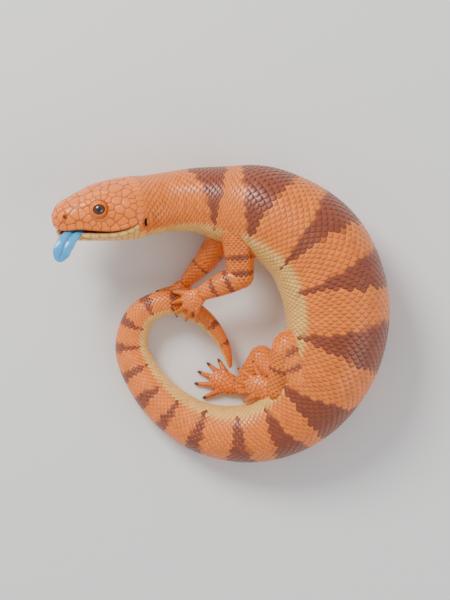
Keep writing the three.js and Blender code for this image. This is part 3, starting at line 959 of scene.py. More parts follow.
def scale_shape(across, along):
    """One scale: places as (across, along, height), faces and shade. Along, 1 is its free hind edge."""
    a = np.linspace(-1, 1, across)
    b = np.linspace(0, 1, along)
    grid_b, grid_a = np.meshgrid(b, a, indexing="ij")
    hind = 1 - HIND_ROUNDNESS * np.abs(grid_a) ** 2.3
    front = -0.5 + FRONT_HOLLOW * np.abs(grid_a) ** 2
    reach = front + (hind - front) * grid_b
    height = -0.25 + SCALE_RISE * (reach + 0.5) / 1.5
    height -= SCALE_ARCH * grid_a**2
    height -= EDGE_DROP * smoothstep(grid_b, 0.72, 1.0) * (grid_b > 0.9)
    top = np.stack([grid_a * (1 - 0.06 * grid_b), reach, height], -1).reshape(-1, 3)
    rim = list(range(across))
    rim += [r * across + across - 1 for r in range(1, along)]
    rim += [(along - 1) * across + c for c in range(across - 2, -1, -1)]
    rim += [r * across for r in range(along - 2, 0, -1)]
    under = top[rim].copy()
    under[:, :2] *= 0.97
    under[:, 2] -= SCALE_DEPTH
    faces = grid_faces(along, across, False)
    count = len(top)
    for i, here in enumerate(rim):
        n = (i + 1) % len(rim)
        faces.append([rim[n], here, count + i, count + n])
    faces.append([count + i for i in reversed(range(len(rim)))])
    # The top darkens towards its free hind edge; the underside, and the walls down to it, are painted shade
    shade = np.concatenate([1 - 0.3 * smoothstep(top[:, 1], 0.45, 1.0), np.full(len(rim), 0.6)])
    return np.vstack([top, under]), faces, shade


# %% Laying scales
def lay_scales(surface, u, v, u_size, v_size, thickness, colours, chart, shape):
    """Scales on surface(u, v, out), each at its own u and v and as long and wide as u_size and v_size."""
    template, faces, shade = shape
    count = len(u)
    places_u = u[:, None] + template[None, :, 1] * u_size[:, None]
    places_v = v[:, None] + template[None, :, 0] * v_size[:, None]
    out = -COAT + template[None, :, 2] * thickness[:, None]
    points = surface(places_u.ravel(), places_v.ravel(), out.ravel())
    points[:, 2] = np.maximum(points[:, 2], COAT_LOWEST)
    size = len(template)
    all_faces = [[k * size + i for i in face] for k in range(count) for face in faces]
    painted = np.repeat(colours, size, axis=0) * np.tile(shade, count)[:, None]
    spots = np.stack([np.repeat(corner, size) for corner in chart], -1)
    spots += np.tile(template[:, [1, 0]] * CHART_SCALE, (count, 1))
    return points, all_faces, painted, spots


def coat_piece(name, *parts):
    """Joins laid scales into one mesh of the coat."""
    points, faces = joined([laid[:2] for laid in parts])
    colours, spots = [np.vstack([laid[k] for laid in parts]) for k in (2, 3)]
    print(name, sum(len(face) - 2 for face in faces), "triangles")
    make_piece(name, points, faces, SCALES, colours, spots)


# %% [markdown]
# ## Where the ears and nostrils are
# The ear opening and the nostril are small pits. Scales keep clear of them, so their places and sizes are
# needed before the first row is laid. Each pit gets its own three directions on the head's surface.

# %% Where the ears and nostrils are
EAR = {"place": 0.125, "angle": 1.72, "radii": (2.2, 3.7), "depth": 3.2}
NOSTRIL = {"place": 0.886, "angle": 1.28, "radii": (1.15, 0.95), "depth": 0.9}


def pit_frame(pit, side, out=0.0):
    """The centre of an ear or nostril on the surface and its axes: forward, up the side, outwards."""
    here = from_head(head_local(pit["place"], side * pit["angle"], out))
    ahead = from_head(head_local(pit["place"] + 0.01, side * pit["angle"], out)) - here
    up = from_head(head_local(pit["place"], side * (pit["angle"] - 0.02), out)) - here
    ahead = unit(ahead)
    up = unit(up - ahead * ahead.dot(up))
    outward = np.cross(ahead, up) * -side
    if outward.dot(here - from_head([pit["place"] * HEAD_LENGTH, 0, 0])) < 0:
        outward = -outward
    return here, np.array([ahead, up, outward])


print("the left ear is at", pit_frame(EAR, 1)[0].round(1), "mm")


# %% [markdown]
# ## Rows along the body
# The scales lie in rings. A ring round the middle has about 37 of them, and the next ring is shifted by half
# a scale. That is finer than on the animal, which has about 36 lengthwise rows in all. Down the tail the
# scales grow smaller, and the rings lose some under it as it thins. The columns are counted outwards from
# the middle of the back until the belly is reached, so the rows of the back never break.

# %% Rings and the sizes of their scales
# Mm from the nape, and a scale's length along the body and width round it
SCALE_SIZES = np.array(
    [
        (0, 3.7, 4.9),
        (60, 4.1, 5.5),
        (150, 4.3, 6.1),
        (250, 4.1, 5.3),
        (330, 3.6, 4.3),
        (420, 2.9, 3.2),
        (470, 2.1, 2.3),
        (500, 1.6, 1.5),
    ]
)
scale_length, scale_width = [through(SCALE_SIZES[:, (0, k)]) for k in (1, 2)]
girth_angles = np.linspace(0, math.pi, 91)
FIRST_ROW = -14.0
ROWS_END_BEFORE_TIP = 3
NAPE_COVERED = 3
SIDE_OVERLAP = 1.12
SKIN_IN_REACH = 1.1
EAR_CLEARING = 1.3


def flank_point(length, angle, out=0.0):
    """A point of the surface by its length from the nape in mm, which is negative on the head."""
    body = body_point(station_of(np.maximum(length, 0)), angle, out)
    head = from_head(head_local(-np.minimum(length, 0) / HEAD_LENGTH, angle, out))
    return np.where((np.asarray(length) < 0)[..., None], head, body)


def half_girth(length):
    """Arc length from the back to each of girth_angles, at one length from the nape."""
    places = flank_point(np.full(len(girth_angles), length), girth_angles, -COAT)
    return np.concatenate([[0], np.cumsum(np.linalg.norm(np.diff(places, axis=0), axis=1))])


def body_scales(first, last):
    """Lengths, angles and half widths of the scales between two lengths from the nape."""
    rows = []
    length = FIRST_ROW
    row = 0
    while length < SPINE_LENGTH - ROWS_END_BEFORE_TIP:
        if first <= length < last:
            rows.append((row, length))
        length += float(scale_length(length)) / 2
        row += 1
    found = []
    for row, length in rows:
        arcs = half_girth(length)
        width = float(scale_width(length))
        half = arcs[-1]
        column = row % 2
        while True:
            arc = column * width / 2
            if arc > half + 0.01 - (width * 0.2 if column else 0):
                break
            angle = float(np.interp(arc, arcs, girth_angles))
            reach = float(np.interp(min(arc + width / 2, half), arcs, girth_angles)) - angle
            reach = max(reach, float(angle - np.interp(max(arc - width / 2, 0), arcs, girth_angles)))
            for side in (1, -1) if column else (1,):
                found.append((length, side * angle, reach * SIDE_OVERLAP))
            column += 2
    return np.array(found)


ring_sizes = np.unique(body_scales(150, 155)[:, 0], return_counts=True)[1]
print("scales in the rings 150 mm from the nape:", ring_sizes)


# %% Scales of the neck, body and tail
BODY_CHART = (0.04, 0.94, 0.02, 0.56)


def body_coat(name, first, last, shape):
    """Lays the scales between two lengths, where the skin is near and the ears are clear of them."""
    length, angle, spread = body_scales(first, last).T
    reach = scale_length(length)
    root = flank_point(length, angle, -COAT)
    shown = (distances(body_tree, root) < SKIN_IN_REACH) | (length < NAPE_COVERED)
    middle = flank_point(length + reach * 0.35, angle, -COAT)
    wide, high = np.array(EAR["radii"]) + EAR_CLEARING
    for side in (1, -1):
        here, axes = pit_frame(EAR, side)
        ahead, above, outward = axes @ (middle - here).T
        shown &= (np.hypot(ahead / wide, above / high) > 1) | (np.abs(outward) > 9)
    length, angle, spread, reach = [values[shown] for values in (length, angle, spread, reach)]
    draw = np.random.default_rng(SEED + 100 + int(first))
    tones = draw.normal(1, 0.055, (len(length), 1)) * (1 + draw.normal(0, 0.02, (len(length), 3)))
    asked_at = length + reach * 0.5 + draw.normal(0, 0.5, len(length))
    colours = body_colour(asked_at, angle) * np.clip(tones, *TONE_LIMITS)
    thickness = (0.62 + 0.08 * reach) * 0.72
    start_u, span_u, start_v, span_v = BODY_CHART
    around = (angle + math.pi) / (2 * math.pi)
    chart = (start_u + span_u * length / SPINE_LENGTH, start_v + span_v * around)
    laid = lay_scales(flank_point, length, angle, reach, spread, thickness, colours, chart, shape)
    coat_piece(name, laid)


FINE_SCALE = scale_shape(7, 6)
SMALL_SCALE = scale_shape(5, 5)
for name, first, last, shape in (
    ("scales_neck", FIRST_ROW, 75, FINE_SCALE),
    ("scales_trunk", 75, 165, FINE_SCALE),
    ("scales_hips", 165, 270, FINE_SCALE),
    ("scales_tail", 270, 370, SMALL_SCALE),
    ("scales_tail_end", 370, 520, SMALL_SCALE),
):
    body_coat(name, first, last, shape)

# %% [markdown]
# ## Scales of the limbs and toes
# The limbs carry the same tiles, only smaller, in rings that run out along each length. Where two lengths
# meet inside a joint their scales would collide, so a scale is only laid where the remeshed skin really is.

# %% Scales of the limbs and toes
BARS = {
    ("left_fore", "upper"): [(0.5, 0.62), (0.8, 0.93)],
    ("left_fore", "lower"): [(0.18, 0.34), (0.6, 0.74)],
    ("left_hind", "upper"): [(0.48, 0.62), (0.8, 0.94)],
    ("left_hind", "lower"): [(0.4, 0.52)],
    ("right_fore", "upper"): [(0.55, 0.7)],
    ("right_fore", "lower"): [(0.15, 0.3), (0.6, 0.75)],
    ("right_hind", "upper"): [(0.5, 0.65)],
    ("right_hind", "lower"): [(0.3, 0.45)],
}
CHART_START = (0.53, 0.62)
CHART_STEP = (0.117, 0.09)
CHART_CELL = (0.11, 0.08)
LIMB_SCALES = {"fore": (3.3, 3.5), "hind": (3.7, 3.9)}
TOE_SCALES = (2.1, 2.2)
LIMB_SIDE_OVERLAP = 1.15
LIMB_SKIN_IN_REACH = 0.8


def chart_cell(row, column, a, b):
    """Where a and b, each from 0 to 1, fall in one cell of the limbs' part of the map."""
    across = CHART_START[0] + column * CHART_STEP[0] + a * CHART_CELL[0]
    up = CHART_START[1] + row * CHART_STEP[1] + b * CHART_CELL[1]
    return across, up


def tube_scales(part, first, last, length, width, bars, upward, cell, draw, shape, thickness):
    """Laid scales on one length of a limb; upward marks the limbs whose outer side faces up."""
    surface = part["point"]
    span = part["span"]
    rings = []
    row = 0
    share = first
    while share < last:
        girth = math.pi * np.linalg.norm(surface(share, 0.0, -COAT) - surface(share, math.pi, -COAT))
        columns = max(int(girth / width), 5)
        angles = (np.arange(columns) + 0.5 * (row % 2)) * 2 * math.pi / columns + math.pi / 2
        spread = math.pi / columns * LIMB_SIDE_OVERLAP
        rings.append(np.column_stack([np.full(columns, share), angles, np.full(columns, spread)]))
        share += length / span / 2
        row += 1
    rings = np.vstack(rings)
    root = surface(rings[:, 0], rings[:, 1], -COAT)
    u, v, spread = rings[distances(body_tree, root) < LIMB_SKIN_IN_REACH].T
    tones = draw.normal(1, 0.06, (len(u), 1))
    facing = np.sin(v) if upward else 0.45 - 0.5 * np.sin(v)
    colours = limb_colour(u, facing, bars) * np.clip(tones, *TONE_LIMITS)
    step = np.full(len(u), length / span)
    thick = np.full(len(u), thickness)
    chart = chart_cell(*cell, np.clip(u, 0, 1), (v % (2 * math.pi)) / (2 * math.pi))
    return lay_scales(surface, u, v, step, spread, thick, colours, chart, shape)


TINY_SCALE = scale_shape(5, 4)
for row, (name, limb) in enumerate(limbs.items()):
    draw = np.random.default_rng(SEED + row + 50)
    parts = []
    up = limb["left"]
    size = LIMB_SCALES[name.split("_")[1]]
    for column, (which, first, past) in enumerate((("upper", -0.25, 0.8), ("lower", 0.04, 0.3))):
        part = limb[which]
        last = 1 + past * float(part["radius"](1.0)) / part["span"]
        bars = BARS[(name, which)]
        cell = (row, column)
        parts.append(tube_scales(part, first, last, *size, bars, up, cell, draw, SMALL_SCALE, 0.62))
    for i, toe in enumerate(limb["toes"]):
        cell = (row, 3)
        laid = tube_scales(toe["tube"], 0.05, 0.97, *TOE_SCALES, [], up, cell, draw, TINY_SCALE, 0.42)
        laid[3][:, 0] += (i - 2) * 0.004
        parts.append(laid)
    coat_piece(f"scales_{name}", *parts)

# %% [markdown]
# ## Plates that share their edges
# On the head and the feet the scales don't overlap: they are plates that meet edge to edge, like paving.
# Each grows from a seed until it meets its neighbours half way, with more room for the larger ones. The
# distance to the edge is found in each direction from all neighbours at once, by a sum with a high power,
# which rounds the corners a little, as they are on the animal. Every plate is then bent onto the skin.

# %% Plates that share their edges
# A plate's section from its foot to its top: share of its reach, height, and painted shade of its colour
PLATE_PROFILE = [(1.0, -0.5), (1.0, 0.1), (0.97, 0.33), (0.9, 0.44), (0.62, 0.49), (0.3, 0.51)]
PLATE_SHADE = [0.5, 0.62, 0.85, 0.97, 1.0, 1.0]
PLATE_TOP = 0.51
CORNER_POWER = 14
WIDEST_PLATE = 1.7
NARROWEST_PLATE = 0.18
OWN_NORMAL = 0.6


def plate_faces(around):
    """The faces of one plate: its rings, the fan of its top and its underside."""
    rings = len(PLATE_PROFILE)
    faces = grid_faces(rings, around, True)
    inner = (rings - 1) * around
    faces += [[inner + k, inner + (k + 1) % around, rings * around] for k in range(around)]
    faces.append([around - 1 - k for k in range(around)])
    return faces


def plate_reach(outward, headings, edges, size):
    """How far a plate reaches in each direction, with its corners rounded where two edges meet."""
    pull = np.maximum(outward @ headings.T, 0) / edges
    bound = (1 / (WIDEST_PLATE * size)) ** CORNER_POWER
    return (np.sum(pull**CORNER_POWER, axis=1) + bound) ** (-1 / CORNER_POWER)


def bent_plate(seed, axes, outward, reach, tree, thickness):
    """A plate's places, ring by ring, bent onto the surface of its tree."""
    first, second, normal = axes
    places = []
    for share, height in PLATE_PROFILE + [(0.0, PLATE_TOP)]:
        ring = outward * (reach * share)[:, None] if share else np.zeros((1, 2))
        for across in ring:
            target = seed + first * across[0] + second * across[1]
            found, facing, _, _ = tree.find_nearest(Vector(target))
            upward = unit(normal * OWN_NORMAL + np.array(facing) * (1 - OWN_NORMAL))
            places.append(np.array(found) + upward * height * thickness)
    return np.array(places)


def cell_plates(seeds, normals, sizes, trees, colours, chart, gap, thickness, limits=None, around=22):
    """One rounded plate for each seed, laid on its own tree of the surface. limits has more edges for
    each seed, as (direction, distance)."""
    turns = np.linspace(0, 2 * math.pi, around, endpoint=False)
    outward = np.column_stack([np.cos(turns), np.sin(turns)])
    ring_shares = np.repeat([share for share, height in PLATE_PROFILE], around)
    flat_plate = np.vstack([np.tile(outward, (len(PLATE_PROFILE), 1)) * ring_shares[:, None], [[0, 0]]])
    # Painted shade, ring by ring: darkest at each plate's foot, where the plates meet
    shades = np.concatenate([np.repeat(PLATE_SHADE, around), [1.0]])
    points, painted, spots, faces = [], [], [], []
    template = plate_faces(around)
    for i, (seed, normal, size) in enumerate(zip(seeds, normals, sizes)):
        first = unit(np.cross(normal, (0.31, 0.2, 0.93)))
        second = np.cross(normal, first)
        gaps = seeds - seed
        flat = np.column_stack([gaps @ first, gaps @ second])
        reach = np.linalg.norm(gaps, axis=1)
        near = (reach < 1.6 * (size + sizes) + 2) & (np.linalg.norm(flat, axis=1) > 1e-6)
        headings = unit(flat[near])
        edges = (reach[near] ** 2 + size**2 - sizes[near] ** 2) / (2 * reach[near])
        for direction, distance in (limits[i] if limits else []):
            across = np.array([direction @ first, direction @ second])
            headings = np.vstack([headings, across / max(np.linalg.norm(across), 1e-6)])
            edges = np.append(edges, distance)
        edges = np.maximum(edges - gap, NARROWEST_PLATE * size)
        radius = plate_reach(outward, headings, edges, size)
        axes = (first, second, normal)
        points.append(bent_plate(seed, axes, outward, radius, trees[i], thickness))
        faces += [[i * len(flat_plate) + k for k in face] for face in template]
        painted.append(colours[i] * shades[:, None])
        spots.append(np.array([chart[0][i], chart[1][i]]) + flat_plate * CHART_SCALE)
    placed = np.vstack(points)
    placed[:, 2] = np.maximum(placed[:, 2], COAT_LOWEST)
    return placed, faces, np.vstack(painted), np.vstack(spots)


# %% Plates of the hands and feet
PAD_PLATES = 120
PAD_PLATE_SIZE = 1.25
GOLDEN_TURN = math.pi * (1 + 5**0.5)

for row, (name, limb) in enumerate(limbs.items()):
    order = np.arange(PAD_PLATES) + 0.5
    along = np.arccos(1 - 2 * order / PAD_PLATES)
    across = (GOLDEN_TURN * order) % (2 * math.pi)
    pad = limb["pad"]
    seeds = oval_point(pad, across, along, -PAD_SINKS)
    normals = unit((seeds - pad["centre"]) @ pad["axes"].T / pad["sizes"] ** 2) @ pad["axes"]
    shown = distances(body_tree, seeds) < 0.7
    seeds, normals, across, along = seeds[shown], normals[shown], across[shown], along[shown]
    draw = np.random.default_rng(SEED + row + 80)
    tones = np.clip(draw.normal(1, 0.07, (len(seeds), 1)), *TONE_LIMITS)
    facing = normals[:, 2] if limb["left"] else 0.6 - 0.3 * normals[:, 2]
    colours = limb_colour(np.full(len(seeds), -9.0), facing, []) * tones
    chart = chart_cell(row, 2, across / (2 * math.pi), along / math.pi)
    sizes = np.full(len(seeds), PAD_PLATE_SIZE)
    trees = [body_tree] * len(seeds)
    laid = cell_plates(seeds, normals, sizes, trees, colours, chart, 0.08, 0.62, around=10)
    coat_piece(f"plates_{name}_foot", laid)

# %% [markdown]
# ## The head's skin
# The head is one sheet of rings from the nape to the tip of the snout. Extra columns are kept for the
# mouth: at its line the sheet turns inwards, runs back as the lining and comes out again on the lower lip.
# The cups of the ears, the nostrils and the bed of each eye are pressed into the sheet afterwards.

# %% The head's skin
UPPER_COLUMNS = 46
LOWER_COLUMNS = 26
LINING = [(0.0, 0.22), (0.12, 0.6), (0.5, 1.0), (0.88, 0.6), (1.0, 0.22)]
LINING_WIDTH = 0.22
LINING_BACK = 5.0
SHEET_STARTS = -0.03


def mouth_lining(upper_lip, lower_lip, open_share):
    """The sheet from lip to lip, drawn inwards and back into the mouth as far as it is open."""
    columns = []
    for across, depth in LINING:
        place = upper_lip * (1 - across) + lower_lip * across
        inner = place.copy()
        inner[:, 1] *= LINING_WIDTH
        inner[:, 0] -= LINING_BACK
        columns.append(place + (inner - place) * (depth * open_share)[:, None])
    return np.stack(columns, 1)


def head_sheet(out):
    """Rings of the head in its own frame, their lining marked, and the two edges of the mouth."""
    face_rings = np.linspace(SHEET_STARTS, SNOUT_ROUNDS_FROM, 84)
    rings = np.concatenate([face_rings, np.linspace(SNOUT_ROUNDS_FROM, 1, 30)[1:]])
    corner = mouth_angle(rings)
    has_mouth = corner < math.pi - 0.02
    front = np.where(has_mouth)[0].max()
    share = snout_turn(rings)[0]
    open_share = smoothstep(share, 0.225, 0.3)
    sides = []
    edges = []
    for side in (1, -1):
        up = np.linspace(0, 1, UPPER_COLUMNS)[None] * corner[:, None]
        down = corner[:, None] + np.linspace(0, 1, LOWER_COLUMNS)[None] * (math.pi - corner[:, None])
        upper = head_local(rings[:, None], side * up, out, np.zeros_like(up, bool))
        lower = head_local(rings[:, None], side * down, out, np.ones_like(down, bool))
        upper_lip = upper[:, -1]
        lower_lip = lower[:, 0]
        lining = mouth_lining(upper_lip, lower_lip, open_share)
        deep = lining[front, 2] * (1, 0, 1)
        lower[front + 1 :] = deep
        lining[front + 1 :] = deep
        sides.append((upper, lining, lower))
        edges.append((upper_lip[: front + 1], lower_lip[: front + 1], share[: front + 1]))
    (upper, lining, lower), (upper_r, lining_r, lower_r) = sides
    loop = [upper, lining, lower, lower_r[:, -2::-1], lining_r[:, ::-1], upper_r[:, ::-1][:, :-1]]
    sheet = np.concatenate(loop, axis=1)
    is_lining, is_lower = [
        np.concatenate([np.full(part.shape[:2], k in marked) for k, part in enumerate(loop)], axis=1)
        for marked in ((1, 4), (2, 3))
    ]
    is_lining[front + 1 :] |= is_lower[front + 1 :]
    return sheet, is_lining, is_lower, edges


# %% The head as one sheet
sheet, is_lining, is_lower, lips = head_sheet(-COAT)
ring_count, column_count = sheet.shape[:2]
print("head:", ring_count, "rings of", column_count, "points")
head_points = from_head(sheet.reshape(-1, 3))
head_faces = [face[::-1] for face in grid_faces(ring_count, column_count, True)]
head_faces.append(list(range(column_count)))


# %% Beds for the eyes, ears and nostrils
EYE_PLACE = (38.5, 16.6, 7.2)
EYE_FACING = (0.16, 0.95, 0.26)
EYE_BED = {"out": 2.2, "radii": (6.3, 6.0), "depth": 5.5}
PIT_MARGIN = 0.7
PIT_DEEPER = 1.5
PRESS_REACH = (4, 8)


def eye_frame(side):
    """An eye's centre and its directions: out of the head, up over the ball and along the head."""
    mirror = np.array([1, side, 1])
    outward = unit((EYE_FACING * mirror) @ HEAD_AXES)
    over = unit(nape_dorsal - outward * nape_dorsal.dot(outward))
    return from_head(EYE_PLACE * mirror), outward, over, np.cross(over, outward)


def press(points, centre, axes, radii, depth):
    """Presses an oval pit into the points; axes are its two directions across and its way out."""
    offset = points - centre
    round_share = np.hypot(offset @ axes[0] / radii[0], offset @ axes[1] / radii[1])
    height = offset @ axes[2]
    inside = (round_share < 1) & (height > -depth - PRESS_REACH[0]) & (height < PRESS_REACH[1])
    target = -depth * np.sqrt(np.clip(1 - round_share**2, 0, 1))
    points[inside] += axes[2] * (np.minimum(height, target) - height)[inside, None]


for side in (1, -1):
    centre, outward, over, ahead = eye_frame(side)
    bed = centre + outward * EYE_BED["out"]
    press(head_points, bed, (ahead, over, outward), EYE_BED["radii"], EYE_BED["depth"])
    for pit in (EAR, NOSTRIL):
        here, axes = pit_frame(pit, side)
        radii = np.array(pit["radii"]) + PIT_MARGIN
        press(head_points, here, axes, radii, pit["depth"] + PIT_DEEPER)
print("the left eye is at", eye_frame(1)[0].round(1), "mm")

# %% The head's skin as a mesh, and trees to find its places
local = to_head(head_points)
head_place = np.repeat(local[:, 0].reshape(ring_count, -1).mean(1) / HEAD_LENGTH, column_count)
head_angle = np.arctan2(local[:, 1], local[:, 2])
of_lining = is_lining.ravel()
of_jaw = is_lower.ravel()
# The head's skin between the shields is darkened by CREVICE_SHADE too: painted shade in the crevices
head_tint = head_colour(np.clip(head_place, 0, 1), head_angle, of_jaw) * CREVICE_SHADE
# The lining is mouth pink, painted darker towards the back of the mouth as shade
lining_tint = mix(MOUTH_PINK, DARK * 2, smoothstep(0.62 - head_place, 0.0, 0.4))
head_tint[of_lining] = lining_tint[of_lining]
head_skin = make_piece("skin_head", head_points, head_faces, SKIN, head_tint)
weld(head_skin)
head_tree = surface_tree(head_skin.data)
outer_faces = [face for face in head_faces[:-1] if not of_lining[face].any()]
face_tree = tree_of(head_points, [face for face in outer_faces if not of_jaw[face].any()])
jaw_tree = tree_of(head_points, [face for face in outer_faces if of_jaw[face].all()])
print("skin of the head:", len(head_skin.data.vertices), "vertices")

# %% [markdown]
# ## Head shields
# A skink's head is plated with large symmetrical shields, and their plan is as much a mark of the animal as
# its tongue. From the snout back: the rostral at the tip, a nasal round each nostril, the frontonasal, two
# prefrontals, the long frontal between the brows, four shields over each eye, then the frontoparietals, the
# interparietal and the great parietals. A row of labials edges each lip. They are listed as a place along
# the head, degrees from the crown and a size, and mirrored; smaller scales fill the cheeks and throat.

# %% Head shields
MIDDLE_SHIELDS = [
    (0.985, 180, 4.2),
    (0.885, 0, 4.3),
    (0.655, 0, 5.2),
    (0.425, 0, 2.9),
]
PAIRED_SHIELDS = [
    (0.948, 34, 2.7),
    (0.948, 92, 2.7),
    (0.95, 140, 2.7),
    (0.905, 66, 3.5),
    (0.775, 25, 4.1),
    (0.8, 70, 2.9),
    (0.725, 72, 2.8),
    (0.7, 28, 2.6),
    (0.63, 28.5, 3.0),
    (0.555, 28.5, 3.0),
    (0.485, 28, 2.7),
    (0.705, 47, 1.6),
    (0.655, 44, 1.5),
    (0.605, 43, 1.5),
    (0.555, 43, 1.5),
    (0.505, 45, 1.5),
    (0.465, 50, 1.6),
    (0.69, 66, 1.8),
    (0.69, 85, 1.9),
    (0.645, 95, 1.7),
    (0.59, 99, 1.7),
    (0.535, 99, 1.7),
    (0.485, 93, 1.8),
    (0.455, 66, 2.0),
    (0.45, 80, 2.0),
    (0.52, 10, 2.9),
    (0.365, 23, 5.0),
    (0.265, 10, 3.3),
    (0.28, 38, 3.2),
    (0.395, 54, 3.1),
    (0.385, 73, 3.1),
    (0.36, 92, 2.8),
    (0.3, 62, 3.0),
    (0.29, 82, 3.0),
]
CHIN_MIDDLE = [(0.93, 180, 3.0), (0.85, 180, 3.1)]
CHIN_PAIRED = [(0.775, 163, 3.3), (0.685, 160, 3.2), (0.595, 159, 3.0)]
UPPER_LABIALS = [0.905, 0.84, 0.77, 0.695, 0.615, 0.53, 0.44, 0.35, 0.265]
LOWER_LABIALS = [0.875, 0.8, 0.72, 0.635, 0.55, 0.46, 0.37, 0.285]
LABIAL_SIZE = 2.6


def section_radius(place):
    """The head's mean radius below its axis, to turn lengths round the section into angles."""
    share, shrink = snout_turn(place)
    return float((head_width(share) + head_bottom(share)) / 2 * shrink)


shields = []
for place, degrees, size in MIDDLE_SHIELDS:
    shields.append((place, math.radians(degrees), size, False))
for place, degrees, size in CHIN_MIDDLE:
    shields.append((place, math.radians(degrees), size, True))
for side in (1, -1):
    for place, degrees, size in PAIRED_SHIELDS:
        shields.append((place, side * math.radians(degrees), size, False))
    for place, degrees, size in CHIN_PAIRED:
        shields.append((place, side * math.radians(degrees), size, True))
    for labials, from_lip, lower in ((UPPER_LABIALS, -2.6, False), (LOWER_LABIALS, 2.5, True)):
        for place in labials:
            angle = float(mouth_angle(place)) + from_lip / section_radius(place)
            shields.append((place, side * angle, LABIAL_SIZE, lower))
print(len(shields), "named shields")


# %% Smaller scales between the shields
FILLER_SIZE = 2.35
FILLER_STEP = 0.056
FILLER_CROWDING = 0.74
FILLER_SPACING = 1.85
LAST_PLATES_AT = 0.18
EYE_CLEARING = 6.0
EYE_MARGIN = 1.4
EYE_MARK_OUT = 3.0
LIP_MARGIN = 0.05


def seed_point(place, angle, lower):
    """Where a shield starts to grow, on the head's skin."""
    return from_head(head_local(place, angle, -COAT, np.array(lower)))


eye_marks = [eye_frame(side)[0] + eye_frame(side)[1] * EYE_MARK_OUT for side in (1, -1)]


def has_room(point, place, angle, lower):
    """Whether a small scale fits beside the shields, the eyes and the lip."""
    sizes = np.array([shield[2] for shield in shields])
    if np.min(np.linalg.norm(seeds - point, axis=1) - FILLER_CROWDING * (sizes + FILLER_SIZE)) < 0:
        return False
    if min(np.linalg.norm(point - mark) for mark in eye_marks) < EYE_CLEARING + EYE_MARGIN:
        return False
    on_lip = abs(angle) > float(mouth_angle(place)) - LIP_MARGIN
    return lower or place <= MOUTH_CORNER or not on_lip


seeds = np.array([seed_point(place, angle, lower) for place, angle, size, lower in shields])
for row, place in enumerate(np.arange(LAST_PLATES_AT - FILLER_STEP, 0.96, FILLER_STEP)):
    arc = FILLER_SIZE * FILLER_SPACING / section_radius(place)
    shift = 0 if row % 2 else arc / 2
    for angle in np.arange(-math.pi + shift, math.pi, arc):
        lower = bool(abs(angle) > float(mouth_angle(place))) and place > MOUTH_CORNER
        point = seed_point(place, angle, lower)
        if has_room(point, place, angle, lower):
            shields.append((place, angle, FILLER_SIZE, lower))
            seeds = np.vstack([seeds, point])
print(len(shields), "shields and scales on the head")

# %% The edges that the shields keep to
LIP_GAP = 0.1
SHIELD_SEES = 2.4
SHIELD_STEP = 0.004
TIP_FROM = 0.97

upper_edge, lower_edge = [
    np.vstack([from_head(lip[k][lip[2] > MOUTH_CORNER]) for lip in lips]) for k in (0, 1)
]
print("points on the lips:", len(upper_edge), "above and", len(lower_edge), "below")
pit_edges = []
for side in (1, -1):
    for pit in (EAR, NOSTRIL):
        pit_edges.append((pit_frame(pit, side, -COAT)[0], max(pit["radii"])))


def shield_normal(place, angle, lower, seed):
    """The way out of the head at a shield, from its neighbourhood on the surface."""
    turn = SHIELD_STEP * 8
    around = seed_point(place, angle + turn, lower) - seed_point(place, angle - turn, lower)
    before, beyond = place - SHIELD_STEP, min(place + SHIELD_STEP, 0.999)
    ahead = seed_point(beyond, angle, lower) - seed_point(before, angle, lower)
    normal = unit(np.cross(ahead, around))
    if normal @ (seed - from_head([min(place, 0.85) * HEAD_LENGTH, 0, -2])) < 0:
        normal = -normal
    return unit(HEAD_AXES[0] + normal * 0.3) if place > TIP_FROM else normal


def shield_edges(place, size, lower, seed, normal):
    """How far a shield reaches towards its lip, the eyes, ears and nostrils, as (direction, distance)."""
    found = []
    lip = lower_edge if lower else upper_edge
    nearest = lip[np.argmin(np.linalg.norm(lip - seed, axis=1))]
    marks = [(nearest, LIP_GAP, 0)] if place >= MOUTH_CORNER else []
    marks += [(mark, EYE_CLEARING, EYE_CLEARING) for mark in eye_marks]
    for target, clearance, farther in marks:
        toward = target - seed
        toward = toward - normal * toward.dot(normal)
        distance = np.linalg.norm(toward)
        if distance < size * SHIELD_SEES + farther:
            found.append((toward / distance, distance - clearance))
    for here, radius in pit_edges:
        toward = here - seed
        distance = np.linalg.norm(toward)
        if radius * 0.5 < distance < size * 2 + radius:
            found.append((toward / distance, distance - radius * 0.95))
    return found


shield_normals = []
shield_limits = []
for (place, angle, size, lower), seed in zip(shields, seeds):
    normal = shield_normal(place, angle, lower, seed)
    shield_normals.append(normal)
    shield_limits.append(shield_edges(place, size, lower, seed, normal))

# %% The shields as plates
SHIELD_GAP = 0.13
SHIELD_THICKNESS = 1.0
HEAD_CHART = (0.02, 0.46, 0.62, 0.36)

draw = np.random.default_rng(SEED + 7)
shield_place, shield_angle, shield_sizes, shield_lower = [np.array(values) for values in zip(*shields)]
mirror_tone = np.cos(np.abs(shield_angle) * 37 + shield_place * 91)
shield_tint = head_colour(shield_place, shield_angle, shield_lower)
shield_tint = shield_tint * (1 + 0.05 * mirror_tone + draw.normal(0, 0.02, len(shields)))[:, None]
start_u, span_u, start_v, span_v = HEAD_CHART
chart_u = start_u + span_u * shield_place
chart_v = start_v + span_v * (shield_angle + math.pi) / (2 * math.pi)
pit_shares = [np.linalg.norm(seeds - here, axis=1) / radius for here, radius in pit_edges]
clear_of_pits = np.min(pit_shares, axis=0) > 0.8
keep = clear_of_pits & (shield_place > LAST_PLATES_AT - 0.01)
shield_trees = []
for place, lower in zip(shield_place[keep], shield_lower[keep]):
    shield_trees.append(head_tree if place < 0.24 else jaw_tree if lower else face_tree)
laid = cell_plates(
    seeds[keep],
    np.array(shield_normals)[keep],
    shield_sizes[keep],
    shield_trees,
    shield_tint[keep],
    (chart_u[keep], chart_v[keep]),
    SHIELD_GAP,
    SHIELD_THICKNESS,
    [limits for limits, kept in zip(shield_limits, keep) if kept],
    around=26,
)
coat_piece("shields_head", laid)
